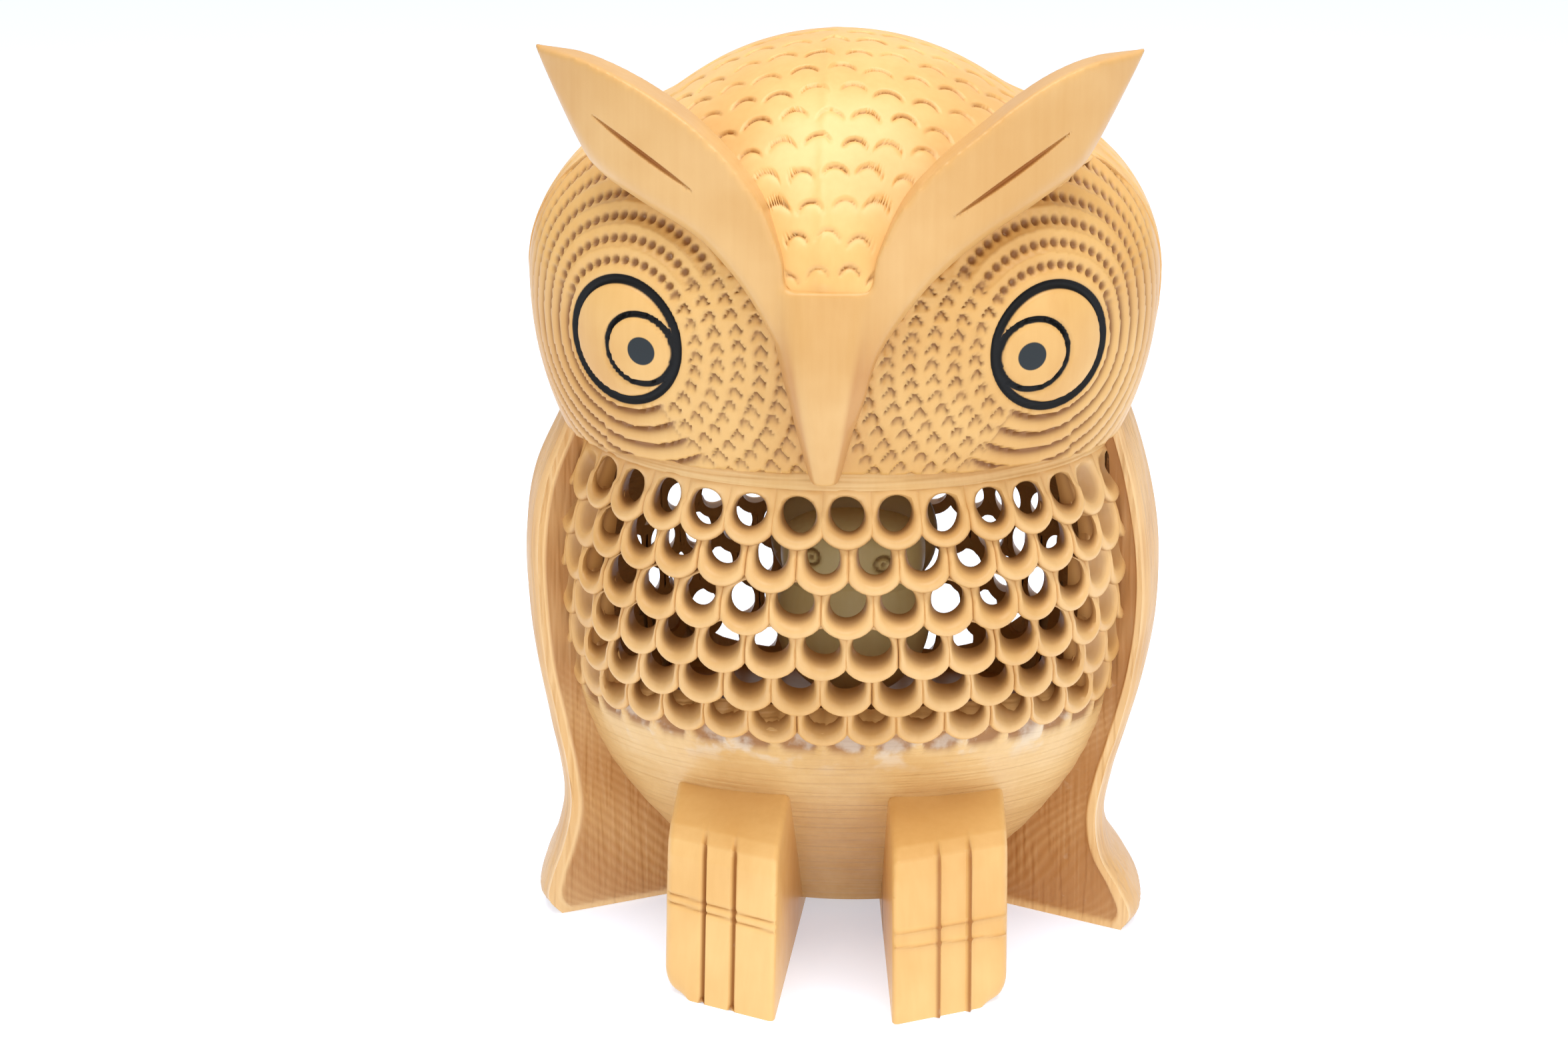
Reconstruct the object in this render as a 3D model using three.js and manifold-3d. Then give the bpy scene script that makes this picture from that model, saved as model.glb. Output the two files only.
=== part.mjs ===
// Carved wooden owl: one block of light wood with a pierced belly and a small owlet left inside it.
// Millimetres, +Z up, the owl faces -Y, +X is to the right of someone looking at its face.
import * as THREE from 'three';
import { mergeGeometries, mergeVertices } from 'three/addons/utils/BufferGeometryUtils.js';
import Module from 'manifold-3d';

const wasm = await Module();
wasm.setup();

// Places of the whole
const AXIS_Y = 7; // the axis of the round body and head, in the carving's own depth
const DEPTH_SHIFT = -5.3; // brings the middle of the owl's box to the origin
const TOP_Z = 150;
const FAR = 90; // beyond the owl on every side

// Head: a full, slightly boxy ball, cut flat below so that it overhangs the belly a little
const HEAD_Z = 113;
const HEAD_RADII = { halfWidth: 49.5, front: 45, back: 41, up: 35.5, down: 52 };
const HEAD_PLAN_POWER = 2.6;
const HEAD_SIDE_POWER = 2.1;
const HEAD_CUT_Z = 88;

// Crown: the dome between the brows
const CROWN_Z = 107;
const CROWN_RADII = { halfWidth: 43, front: 50.7, back: 44, up: TOP_Z - CROWN_Z, down: 43 };
const CROWN_FOOT = [5.6, 118.2];

// Brows: two slabs that run up from the beak into the ear tips, cut from a round front
const BROW_TIP = [46.2, 150.8];
const BROW_TOP_EDGE = [[38.4, 149.6], [31.9, 147], [26.7, 143.8], [19.5, 138.4], [13.2, 130.5], [7.2, 118.6]];
const BROW_LOW_EDGE = [[0, 101], [6, 102.5], [10, 108], [13.4, 115], [17.2, 120.5], [22.8, 125.7], [30.2, 129.7], [39, 132.5]];
const BROW_EAR_CORNER = [39.4, 137.6];
const BROW_CYLINDER = [52, 49];
const BROW_REAR = [[60, -8], [46, -14.2], [38, -18.5], [27, -25], [14, -31], [0, -33.5]];
const BROW_SLIT = { from: [36.6, 143], to: [21, 133], width: 0.9, depth: 1 };

// Beak: a rounded wedge
const BEAK_X = -1.9;
const BEAK = { topZ: 119, tipZ: 88.4, topHalfWidth: 9.4, tipHalfWidth: 2.2, frontY: -42.4 };

// Eyes: an outer ring and an iris ring grooved round each eye
const EYE = { x: 30.9, y: -29, z: 109.5, yaw: 28 };
const EYE_RINGS = [{ radius: 10, shift: 0 }, { radius: 5.8, shift: 3.4 }];
const RING_WIDTH = 1;
const RING_DEPTH = 0.6;

// Belly by height: half-width, front depth, back depth
const BELLY = [
  [0, 15, 6, 20],
  [5, 21, 9, 24],
  [13, 29.5, 14.5, 28],
  [21, 36.3, 20.5, 31],
  [29, 41.5, 26.5, 34],
  [37, 44.8, 32, 37.5],
  [45, 46.6, 37.5, 40.5],
  [54, 47.5, 42.5, 42.5],
  [63, 47.8, 45, 43.5],
  [72, 47.6, 44.6, 43],
  [80, 46.2, 41.8, 41.5],
  [88, 43.8, 38.6, 39.5],
  [95, 41, 35, 37],
];
const BELLY_FOOT_Z = 2.4; // the belly stops short of the ground between the feet

// Wings and tail by height: half-width on the left and on the right, back depth
const CLOAK = [
  [0, 49.4, 48, 45],
  [2.5, 51.8, 50, 44.8],
  [7, 51.2, 48.6, 42.8],
  [12, 48.6, 45.8, 40.4],
  [19, 46.3, 44.4, 38.6],
  [27, 46.8, 45.4, 39.5],
  [36, 48.8, 48, 41.5],
  [46, 51.2, 50.6, 43.5],
  [57, 52.4, 52.4, 44.5],
  [68, 52.3, 52.1, 45],
  [79, 49.8, 49.8, 44],
  [88, 47, 47, 42],
  [96, 43.6, 43.6, 39],
];
const WING_FACE = { leftY: -4.5, rightY: -6.3, lean: -0.06, slope: 0.5, flatTo: 28 };
const WING_SIDE = [[-60, -10], [70, -10], [70, 22], [46, 26], [37, 36], [31, 50], [27, 64], [22, 80], [10, 98], [-60, 98]];
const TAIL = { halfWidth: 14, topZ: 32, backY: 54.3, slope: 0.16 };

// Pierced belly: staggered rows of holes, front and back; each hole has its own cell of the wall
const FRONT_LATTICE = {
  turn: 0,
  edges: [85.9, 79.2, 72.5, 65.4, 58.4, 51.8, 45.6],
  cells: [-6, 5],
  inward: { below: 62, slope: 0.13, least: 0 },
};
const BACK_LATTICE = {
  turn: 180,
  edges: [66.5, 59.6, 52.7, 46, 39.6, 33.4],
  cells: [-5, 4],
  inward: { below: 0, slope: 0, least: 1.9 },
};
const CELL_ANGLE = 9.5;
const LATTICE_TURN = 1.9;
const HOLE_RADIUS = 2.6;
const HOLE_ANGLE = 3.25; // the same radius, as degrees round the belly
const HOLE_SIDES = 6;
const WALL = 5.4;
const PANEL_PROUD = 0.3; // the pierced wall stands this much proud of the wall around it
const PANEL_LAP = 0.008; // and laps over the edge of its window by this share of its size

// Hollow behind the pierced wall; its floor falls towards the back
const CAVITY_ROOF = 86.4;
const CAVITY_FLOOR = [[-40, 44.9], [-22, 44.2], [46, 31.6]];

// Owlet inside
const OWLET = { x: 1.4, y: 3, floorZ: 42, headZ: 66, halfWidth: 13 };

// Feet: the side outline of a foot in depth and height, its inner and outer edges, and the toe grooves
const FOOT_SIDE = [[-41, 0], [-36.2, 24.6], [-30.5, 28.8], [-24, 31.6], [-14, 35], [8, 32], [8, 0]];
const FOOT_EDGES = { inner: [9.4, 6.2], outer: [27.6, 25.5] }; // at the toes and at the heel
const FOOT_FRONT_SKEW = 8.6; // how much further back the outer corner is than the inner one
const TOE_GROOVES = [0.39, 0.66];
const TOE_GROOVE = { halfWidth: 0.75, depth: 0.9 };

// A smooth curve through a short table: the first column is height, the others are sizes.
function curveOf(table, column) {
  const heights = table.map((row) => row[0]);
  const sizes = table.map((row) => row[column]);
  const cubic = new THREE.CubicInterpolant(heights, sizes, 1, new Float32Array(1));
  return (z) => cubic.evaluate(z)[0];
}

const bellyHalfWidth = curveOf(BELLY, 1);
const bellyFront = curveOf(BELLY, 2);
const bellyBack = curveOf(BELLY, 3);
const heightsOf = (table) => table.map((row) => row[0]);

// Moves each vertex of a geometry by a rule.
function reshape(geometry, rule) {
  const positions = geometry.getAttribute('position');
  const point = new THREE.Vector3();
  for (let i = 0; i < positions.count; i += 1) {
    point.fromBufferAttribute(positions, i);
    rule(point);
    positions.setXYZ(i, point.x, point.y, point.z);
  }
  return geometry;
}

// A closed geometry as a solid that can be joined and cut.
function solid(geometry) {
  const bare = geometry.index ? geometry.toNonIndexed() : geometry.clone();
  bare.deleteAttribute('normal');
  bare.deleteAttribute('uv');
  const merged = mergeVertices(bare, 1e-4);
  return new wasm.Manifold(new wasm.Mesh({
    numProp: 3,
    vertProperties: merged.getAttribute('position').array,
    triVerts: new Uint32Array(merged.index.array),
  }));
}

const union = (parts) => parts.reduce((sum, part) => sum.add(part));
const power = (value, exponent) => Math.sign(value) * Math.abs(value) ** exponent;
const mirror = (points) => points.map(([a, b]) => [-a, b]).reverse();
const radians = THREE.MathUtils.degToRad;

// Rounded rings at the given heights: sizes(z) gives left and right half-width, front and back depth.
function stack(heights, around, sizes, planPower = 2) {
  const steps = heights.length - 1;
  const drum = new THREE.CylinderGeometry(1, 1, 1, around, steps).rotateX(Math.PI / 2);
  return solid(reshape(drum, (p) => {
    const z = heights[Math.round((p.z + 0.5) * steps)];
    const [left, right, front, back] = sizes(z);
    const length = Math.hypot(p.x, p.y);
    const x = length ? p.x / length : 0;
    const y = length ? p.y / length : 0;
    p.x = length * (x < 0 ? left : right) * power(x, 2 / planPower);
    p.y = AXIS_Y + length * (y < 0 ? front : back) * power(y, 2 / planPower);
    p.z = z;
  }));
}

// A ball with its own radius to each side; powers over 2 make it boxier in plan or in height.
function ball(center, radii, around, levels, planPower = 2, sidePower = 2) {
  const sphere = new THREE.SphereGeometry(1, around, levels).rotateX(Math.PI / 2);
  return solid(reshape(sphere, (p) => {
    const ring = Math.hypot(p.x, p.y);
    const x = ring ? p.x / ring : 0;
    const y = ring ? p.y / ring : 0;
    const wide = power(ring, 2 / sidePower);
    p.x = center[0] + wide * radii.halfWidth * power(x, 2 / planPower);
    p.y = center[1] + wide * (y < 0 ? radii.front : radii.back) * power(y, 2 / planPower);
    p.z = center[2] + (p.z > 0 ? radii.up : radii.down) * power(p.z, 2 / sidePower);
  }));
}

function box(low, high) {
  const size = high.map((value, i) => value - low[i]);
  const middle = high.map((value, i) => (value + low[i]) / 2);
  return solid(new THREE.BoxGeometry(...size).translate(...middle));
}

function extrusion(outline, depth) {
  const shape = new THREE.Shape(outline.map(([a, b]) => new THREE.Vector2(a, b)));
  return new THREE.ExtrudeGeometry(shape, { depth, bevelEnabled: false });
}

// Prisms of an outline in X and Z running along Y, in Y and Z running along X, and in X and Y upwards
const prismY = (outline, near, far) => solid(
  extrusion(outline, far - near).rotateX(Math.PI / 2).translate(0, far, 0),
);
const prismX = (outline, near, far) => solid(
  extrusion(outline, far - near).rotateX(Math.PI / 2).rotateZ(Math.PI / 2).translate(near, 0, 0),
);
const prismZ = (outline, low, high) => solid(extrusion(outline, high - low).translate(0, 0, low));

// A smooth outline through a few points, as short straight runs
function smooth(points, steps) {
  const spline = new THREE.SplineCurve(points.map(([a, b]) => new THREE.Vector2(a, b)));
  return spline.getPoints(steps).map((p) => [p.x, p.y]);
}

// The belly at the given heights, drawn in by an inset
const bellyShape = (heights, inset) => stack(heights, 32, (z) => [
  bellyHalfWidth(z) - inset,
  bellyHalfWidth(z) - inset,
  bellyFront(z) - inset,
  bellyBack(z) - inset,
]);

// The belly, with the leaning face of the wings and the cloak of wings and tail behind it
function makeBody() {
  const belly = bellyShape([BELLY_FOOT_Z, ...heightsOf(BELLY).slice(1)], 0);
  const rows = new Map(CLOAK.map(([z, left, right, back]) => [z, [left, right, 44, back]]));
  const cloak = stack(heightsOf(CLOAK), 32, (z) => rows.get(z), 2.15);
  const { leftY, rightY, slope, flatTo } = WING_FACE;
  const faceY = (x) => (x < 0 ? leftY : rightY) + slope * (50 - Math.abs(x));
  const edge = [-FAR, -flatTo, flatTo, FAR].map((x) => [x, faceY(x)]);
  const slab = extrusion([...edge, [FAR, FAR], [-FAR, FAR]], 110).translate(0, 0, -5);
  const behindFace = solid(reshape(slab, (p) => {
    p.y += WING_FACE.lean * p.z;
  }));
  const wings = cloak.intersect(behindFace).intersect(prismX(smoothSide(WING_SIDE), -FAR, FAR));
  return belly.add(wings).add(makeTail());
}

function smoothSide(points) {
  const curved = smooth(points.slice(2, -1), 16);
  return [...points.slice(0, 2), ...curved, points[points.length - 1]];
}

// Tail: a short block that leans back to the ground behind the wings
function makeTail() {
  const { halfWidth, topZ, backY, slope } = TAIL;
  const outline = [[10, 0], [backY, 0], [backY - slope * 10, 10], [backY - slope * 60, topZ - 8], [36, topZ], [10, topZ]];
  return prismX(outline, -halfWidth, halfWidth);
}

// Head ball, and the crown in the notch between the brows
function makeHead() {
  const ballHead = ball([0, AXIS_Y, HEAD_Z], HEAD_RADII, 32, 16, HEAD_PLAN_POWER, HEAD_SIDE_POWER);
  const head = ballHead.intersect(box([-FAR, -FAR, HEAD_CUT_Z], [FAR, FAR, 160]));
  const dome = ball([0, AXIS_Y, CROWN_Z], CROWN_RADII, 28, 14);
  const side = [[70, 172], ...BROW_TOP_EDGE.map(([x, z]) => [x, z - 3]), CROWN_FOOT];
  const notch = prismY([...side, ...mirror(side)], -FAR, AXIS_Y);
  const behind = box([-FAR, AXIS_Y - 1, HEAD_CUT_Z + 10], [FAR, FAR, 160]);
  return head.add(dome.intersect(notch.add(behind)));
}

// Both brows: their outline from the front, cut from the round front and thinned towards the ear tips
function makeBrows() {
  const top = smooth([BROW_TIP, ...BROW_TOP_EDGE], 16);
  const low = smooth(BROW_LOW_EDGE, 14);
  const right = [...top, [0, CROWN_FOOT[1] + 0.4], ...low, BROW_EAR_CORNER];
  const outline = prismY(right, -FAR, 20).add(prismY(mirror(right), -FAR, 20));
  const [wide, deep] = BROW_CYLINDER;
  const round = solid(new THREE.CylinderGeometry(1, 1, 90, 44)
    .rotateX(Math.PI / 2)
    .scale(wide, deep, 1)
    .translate(0, AXIS_Y, 125));
  const rear = smooth(BROW_REAR, 12);
  const front = prismZ([[-60, -FAR], [60, -FAR], ...rear, ...mirror(rear).slice(1)], 80, 170);
  return outline.intersect(round).intersect(front);
}

function makeBeak() {
  const cone = new THREE.CylinderGeometry(1, 1, 1, 18, 6).rotateX(Math.PI / 2);
  return solid(reshape(cone, (p) => {
    const t = 0.5 - p.z;
    const halfWidth = BEAK.topHalfWidth + (BEAK.tipHalfWidth - BEAK.topHalfWidth) * t ** 1.1;
    const front = BEAK.frontY - 1.6 * Math.sin(Math.PI * t) + 3.4 * t ** 3;
    p.x = BEAK_X + p.x * halfWidth;
    p.y = -33 + p.y * (p.y < 0 ? -33 - front : 14);
    p.z = BEAK.topZ + (BEAK.tipZ - BEAK.topZ) * t;
  }));
}

// Grooves of the eye rings, as far into the head as their depth
function makeEyeRings() {
  const inset = (size) => size - RING_DEPTH;
  const inner = Object.fromEntries(Object.entries(HEAD_RADII).map(([key, size]) => [key, inset(size)]));
  const core = ball([0, AXIS_Y, HEAD_Z], inner, 32, 16, HEAD_PLAN_POWER, HEAD_SIDE_POWER);
  const rings = [];
  for (const side of [-1, 1]) {
    for (const { radius, shift } of EYE_RINGS) {
      const disc = (r, length) => solid(new THREE.CylinderGeometry(r, r, length, 14)
        .translate(-side * shift, 0, -shift * 0.2)
        .rotateZ(side * radians(EYE.yaw))
        .translate(side * EYE.x, EYE.y, EYE.z));
      rings.push(disc(radius + RING_WIDTH / 2, 26).subtract(disc(radius - RING_WIDTH / 2, 28)));
    }
  }
  return union(rings).subtract(core);
}

// A thin tapered slit along each brow
function makeBrowSlits() {
  const { from, to, width, depth } = BROW_SLIT;
  const along = new THREE.Vector2(to[0] - from[0], to[1] - from[1]);
  const across = new THREE.Vector2(-along.y, along.x).setLength(width / 2);
  const middle = [(from[0] + to[0]) / 2, (from[1] + to[1]) / 2];
  const outline = [from, [middle[0] - across.x, middle[1] - across.y], to, [middle[0] + across.x, middle[1] + across.y]];
  const [wide, deep] = BROW_CYLINDER;
  const core = solid(new THREE.CylinderGeometry(1, 1, 90, 44)
    .rotateX(Math.PI / 2)
    .scale(wide - depth, deep - depth, 1)
    .translate(0, AXIS_Y, 125));
  const slits = [outline, mirror(outline)].map((points) => prismY(points, -FAR, -15));
  return union(slits).subtract(core);
}

// One foot; side is -1 for the left and 1 for the right of the front view
function makeFoot(side) {
  const { inner, outer } = FOOT_EDGES;
  const [[toeY], [kneeY, kneeZ]] = FOOT_SIDE;
  const heelY = FOOT_SIDE[FOOT_SIDE.length - 1][0];
  const block = extrusion(FOOT_SIDE, 1).rotateX(Math.PI / 2).rotateZ(Math.PI / 2);
  const foot = solid(reshape(block, (p) => {
    const heel = (p.y - toeY) / (heelY - toeY);
    const out = side < 0 ? 1 - p.x : p.x;
    const skewed = Math.min(1, (heelY - p.y) / 30);
    p.x = side * THREE.MathUtils.lerp(
      THREE.MathUtils.lerp(inner[0], inner[1], heel),
      THREE.MathUtils.lerp(outer[0], outer[1], heel),
      out,
    );
    p.y += FOOT_FRONT_SKEW * out * skewed;
  }));
  const { halfWidth, depth } = TOE_GROOVE;
  const grooves = TOE_GROOVES.map((out) => {
    const x = side * THREE.MathUtils.lerp(inner[0], outer[0], out);
    const notch = [[x - halfWidth, -0.4], [x, depth], [x + halfWidth, -0.4]];
    return solid(reshape(extrusion(notch, kneeZ + 3).translate(0, 0, -1), (p) => {
      p.y += toeY + FOOT_FRONT_SKEW * out + ((kneeY - toeY) * p.z) / kneeZ;
    }));
  });
  return foot.subtract(union(grooves));
}

// One cell of the pierced wall drawn flat: degrees round the belly against height, depth 0 to 1.
function flatCell([high, low], halfSteps, pierced) {
  const angleAt = (steps) => LATTICE_TURN + (halfSteps + steps) * (CELL_ANGLE / 2);
  const corners = [[-1, low], [0, low], [1, low], [1, high], [0, high], [-1, high]];
  const shape = new THREE.Shape(corners.map(([steps, z]) => new THREE.Vector2(angleAt(steps), z)));
  if (pierced) {
    const rim = new THREE.Path();
    for (let i = 0; i < HOLE_SIDES; i += 1) {
      const around = Math.PI / 2 - (i * 2 * Math.PI) / HOLE_SIDES;
      const x = angleAt(0) + HOLE_ANGLE * Math.cos(around);
      const z = (low + high) / 2 + HOLE_RADIUS * Math.sin(around);
      if (i) rim.lineTo(x, z);
      else rim.moveTo(x, z);
    }
    shape.holes.push(rim);
  }
  return new THREE.ExtrudeGeometry(shape, { depth: 1, bevelEnabled: false });
}

// Leaves out the walls that two cells share: a wall's triangles are known by the middle of their edge.
function withoutSharedWalls(flat) {
  const position = flat.getAttribute('position');
  const walls = new Map();
  const keys = [];
  for (let i = 0; i < position.count; i += 3) {
    const corners = [0, 1, 2].map((j) => new THREE.Vector3().fromBufferAttribute(position, i + j));
    const depths = new Set(corners.map((p) => Math.round(p.z)));
    const xs = corners.map((p) => p.x);
    const zs = corners.map((p) => p.y);
    const middle = [Math.min(...xs) + Math.max(...xs), Math.min(...zs) + Math.max(...zs)];
    const key = depths.size > 1 ? middle.map((value) => value.toFixed(2)).join() : '';
    keys.push(key);
    if (key) walls.set(key, (walls.get(key) || 0) + 1);
  }
  const kept = keys.flatMap((key, i) => (walls.get(key) > 2 ? [] : [3 * i, 3 * i + 1, 3 * i + 2]));
  const points = kept.flatMap((i) => [position.getX(i), position.getY(i), position.getZ(i)]);
  return new THREE.BufferGeometry().setAttribute('position', new THREE.Float32BufferAttribute(points, 3));
}

// The pierced wall on one side of the belly, bent round it; unpierced and wider in depth, it cuts its window.
function makePanel({ turn, edges, cells: [first, last], inward }, pierced) {
  const [near, far, share] = pierced ? [0, 1, 1] : [-0.4, 1.3, 1 - PANEL_LAP];
  const cells = [];
  for (let row = 0; row < edges.length - 1; row += 1) {
    for (let i = first; i <= last; i += 1) {
      cells.push(flatCell(edges.slice(row, row + 2), 2 * i + (row % 2), pierced));
    }
  }
  const middleZ = (edges[0] + edges[edges.length - 1]) / 2;
  const flat = withoutSharedWalls(mergeGeometries(cells));
  return solid(reshape(flat, (p) => {
    const depth = near + (far - near) * p.z;
    const inset = (1 - depth) * (WALL + 2 * PANEL_PROUD) - PANEL_PROUD;
    const angle = radians(turn + LATTICE_TURN + (p.x - LATTICE_TURN) * share);
    const z = middleZ + (p.y - middleZ) * share;
    const reach = Math.cos(angle) > 0 ? bellyFront(z) : bellyBack(z);
    p.x = (bellyHalfWidth(z) - inset) * Math.sin(angle);
    p.y = AXIS_Y - (reach - inset) * Math.cos(angle);
    p.z = z + (1 - depth) * Math.max(inward.least, (inward.below - z) * inward.slope);
  }));
}

// The hollow: the belly's own shape drawn in by the wall, above a floor that falls to the back
function makeCavity() {
  const heights = [30, 38, 48, 58, 68, 78, CAVITY_ROOF];
  const above = prismX([...CAVITY_FLOOR, [46, 100], [-40, 100]], -FAR, FAR);
  return bellyShape(heights, WALL).intersect(above);
}

// The owlet stands on the floor of the hollow
function makeOwlet() {
  const { x, y, floorZ, headZ, halfWidth } = OWLET;
  const bodyRadii = { halfWidth, front: 10, back: 10, up: 16, down: 14 };
  const headRadii = { halfWidth: halfWidth - 1, front: 9.5, back: 9.5, up: 8.5, down: 10 };
  const torso = ball([x, y, floorZ + 11], bodyRadii, 12, 8);
  const head = ball([x, y, headZ], headRadii, 12, 8, 2.4, 2.4);
  const ear = (side) => solid(new THREE.ConeGeometry(2.6, 7, 6)
    .rotateX(Math.PI / 2)
    .translate(x + side * (halfWidth - 5.5), y - 3, headZ + 8));
  return union([torso, head, ear(-1), ear(1)]);
}

const outside = union([makeBody(), makeHead(), makeBrows(), makeBeak(), makeFoot(-1), makeFoot(1)]);
const grooves = makeEyeRings().add(makeBrowSlits());
const lattices = [FRONT_LATTICE, BACK_LATTICE];
const panels = union(lattices.map((lattice) => makePanel(lattice, true)));
const hollow = union([makeCavity(), ...lattices.map((lattice) => makePanel(lattice, false))]);
const owl = outside.subtract(grooves).subtract(hollow).add(panels).add(makeOwlet());

function meshOf(made, name, material) {
  const { vertProperties, triVerts } = made.getMesh();
  const geometry = new THREE.BufferGeometry();
  geometry.setAttribute('position', new THREE.BufferAttribute(new Float32Array(vertProperties), 3));
  geometry.setIndex(new THREE.BufferAttribute(new Uint32Array(triVerts), 1));
  const mesh = new THREE.Mesh(geometry, material);
  mesh.name = name;
  return mesh;
}

const wood = new THREE.MeshStandardMaterial({ color: 0xe3b468, roughness: 0.5, metalness: 0 });
const part = new THREE.Group();
part.add(meshOf(owl, 'owl', wood));
part.position.y = DEPTH_SHIFT;
export default part;
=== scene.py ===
# %% [markdown]
# # A carved wooden owl, piece by piece
#
# The real owl is cut from one block of soft, honey-coloured wood. Its belly is pierced with rows of
# drilled holes until only a net of rims is left, and a small owlet is carved inside through those holes.
# This lesson builds the look of that owl over a plain solid frame, one carved region at a time.
#
# Lengths are written in millimetres, as a carver would measure them, and turned into metres at the end.

# %% Load the solid frame
import math
from functools import partial

import bmesh
import bpy
import numpy as np
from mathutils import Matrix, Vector


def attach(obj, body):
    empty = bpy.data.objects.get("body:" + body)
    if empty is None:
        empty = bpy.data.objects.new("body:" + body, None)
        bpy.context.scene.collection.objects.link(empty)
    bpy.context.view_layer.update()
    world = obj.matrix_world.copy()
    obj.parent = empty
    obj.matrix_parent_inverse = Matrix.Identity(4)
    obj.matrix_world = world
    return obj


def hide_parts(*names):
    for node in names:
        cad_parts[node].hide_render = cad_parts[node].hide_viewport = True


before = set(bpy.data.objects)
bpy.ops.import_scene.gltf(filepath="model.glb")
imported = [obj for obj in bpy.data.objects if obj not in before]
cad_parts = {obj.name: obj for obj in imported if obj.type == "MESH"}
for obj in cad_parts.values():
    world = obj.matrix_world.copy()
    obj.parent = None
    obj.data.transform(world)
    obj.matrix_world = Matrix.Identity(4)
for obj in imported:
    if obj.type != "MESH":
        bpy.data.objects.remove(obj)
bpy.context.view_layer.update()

# %% [markdown]
# ## Places that every piece shares
#
# The belly and the head are turned about one upright axis. The carver's own depth is measured from a
# line a little behind the toes, so one shift along Y brings the owl to the middle of its box.

# %% Shared places
MM = 0.001
AXIS_Y = 7.0
DEPTH_SHIFT = -5.3
rng = np.random.default_rng(7)


def smooth_curve(table, column):
    """A smooth curve through one column of a table whose first column rises; works on arrays."""
    heights = np.array([row[0] for row in table], float)
    sizes = np.array([row[column] for row in table], float)
    slopes = np.gradient(sizes, heights)

    def at(z):
        z = np.clip(z, heights[0], heights[-1])
        i = np.clip(np.searchsorted(heights, z, side="right") - 1, 0, len(heights) - 2)
        step = heights[i + 1] - heights[i]
        t = (z - heights[i]) / step
        start = (2 * t**3 - 3 * t**2 + 1) * sizes[i] + (t**3 - 2 * t**2 + t) * step * slopes[i]
        end = (3 * t**2 - 2 * t**3) * sizes[i + 1] + (t**3 - t**2) * step * slopes[i + 1]
        return start + end

    return at


def unit(value):
    """Kept between 0 and 1."""
    return np.clip(value, 0, 1)


def step_up(value, low, high):
    """0 below low, 1 above high, and an even S-curve between."""
    t = unit((value - low) / (high - low))
    return t * t * (3 - 2 * t)


# %% [markdown]
# ## Camera, light and floor
#
# The owl stands on a white surface under a large soft light, and the camera looks a little down on it
# from its left front, from about three owl-heights away.

# %% Camera
CAMERA_PLACE = Vector((0.0134, -0.4507, 0.21506))
CAMERA_AIM = Vector((-0.009, -0.0233, 0.076))
LENS_MM = 65.36


def link_object(name, data):
    """A new object, put into the scene."""
    made = bpy.data.objects.new(name, data)
    bpy.context.scene.collection.objects.link(made)
    return made


camera = link_object("camera", bpy.data.cameras.new("camera"))
camera.location = CAMERA_PLACE
camera.rotation_euler = (CAMERA_AIM - CAMERA_PLACE).to_track_quat("-Z", "Y").to_euler()
camera.data.lens = LENS_MM
camera.data.sensor_width = 36
camera.data.clip_start = 0.01
bpy.context.scene.camera = camera
print("camera distance in metres:", round((CAMERA_AIM - CAMERA_PLACE).length, 3))


# %% Lights
def area_light(name, place, aim, size, watts):
    light = link_object(name, bpy.data.lights.new(name, "AREA"))
    light.data.shape = "SQUARE"
    light.data.size = size
    light.data.energy = watts
    light.location = place
    light.rotation_euler = (Vector(aim) - Vector(place)).to_track_quat("-Z", "Y").to_euler()


area_light("overhead softbox", (0.03, -0.1, 0.95), (0, 0, 0.08), 0.8, 8.0)
area_light("left front fill", (-0.75, -0.75, 0.45), (0, 0, 0.08), 0.6, 1.2)
area_light("right front fill", (0.8, -0.7, 0.4), (0, 0, 0.08), 0.6, 1.9)
area_light("low front fill", (0.1, -0.95, 0.26), (0, 0, 0.07), 0.5, 1.2)

SKY_STRENGTH = 0.66
SKY_SEEN_EXTRA = 0.5  # the backdrop shows whiter than the light that it gives

world = bpy.data.worlds.new("white studio")
world.use_nodes = True
sky = world.node_tree.nodes
sky["Background"].inputs["Color"].default_value = (1, 1, 1, 1)
seen = sky.new("ShaderNodeLightPath")
strength = sky.new("ShaderNodeMath")
strength.operation = "MULTIPLY_ADD"
strength.inputs[1].default_value = SKY_SEEN_EXTRA
strength.inputs[2].default_value = SKY_STRENGTH
world.node_tree.links.new(seen.outputs["Is Camera Ray"], strength.inputs[0])
world.node_tree.links.new(strength.outputs[0], sky["Background"].inputs["Strength"])
bpy.context.scene.world = world
bpy.context.scene.view_settings.view_transform = "Standard"
bpy.context.scene.view_settings.look = "None"

# %% Floor
FLOOR_HALF = 3.0


def as_mesh(bm, name):
    """A bmesh turned into a mesh, and let go."""
    mesh = bpy.data.meshes.new(name)
    bm.to_mesh(mesh)
    bm.free()
    return mesh


floor_bm = bmesh.new()
bmesh.ops.create_grid(floor_bm, x_segments=1, y_segments=1, size=FLOOR_HALF)
floor = link_object("floor", as_mesh(floor_bm, "floor"))


# %% [markdown]
# ## Colours
#
# Colours are written as they look on a screen and turned into light values once, here.

# %% Floor colour
def light_value(code):
    """A screen colour such as E3B060 as the linear values that a shader takes."""
    parts = [int(code[i : i + 2], 16) / 255 for i in (0, 2, 4)]
    linear = [c / 12.92 if c <= 0.04045 else ((c + 0.055) / 1.055) ** 2.4 for c in parts]
    return (*linear, 1.0)


def new_material(name):
    """A new material and its shader's inputs."""
    material = bpy.data.materials.new(name)
    material.use_nodes = True
    return material, material.node_tree.nodes["Principled BSDF"].inputs


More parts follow.
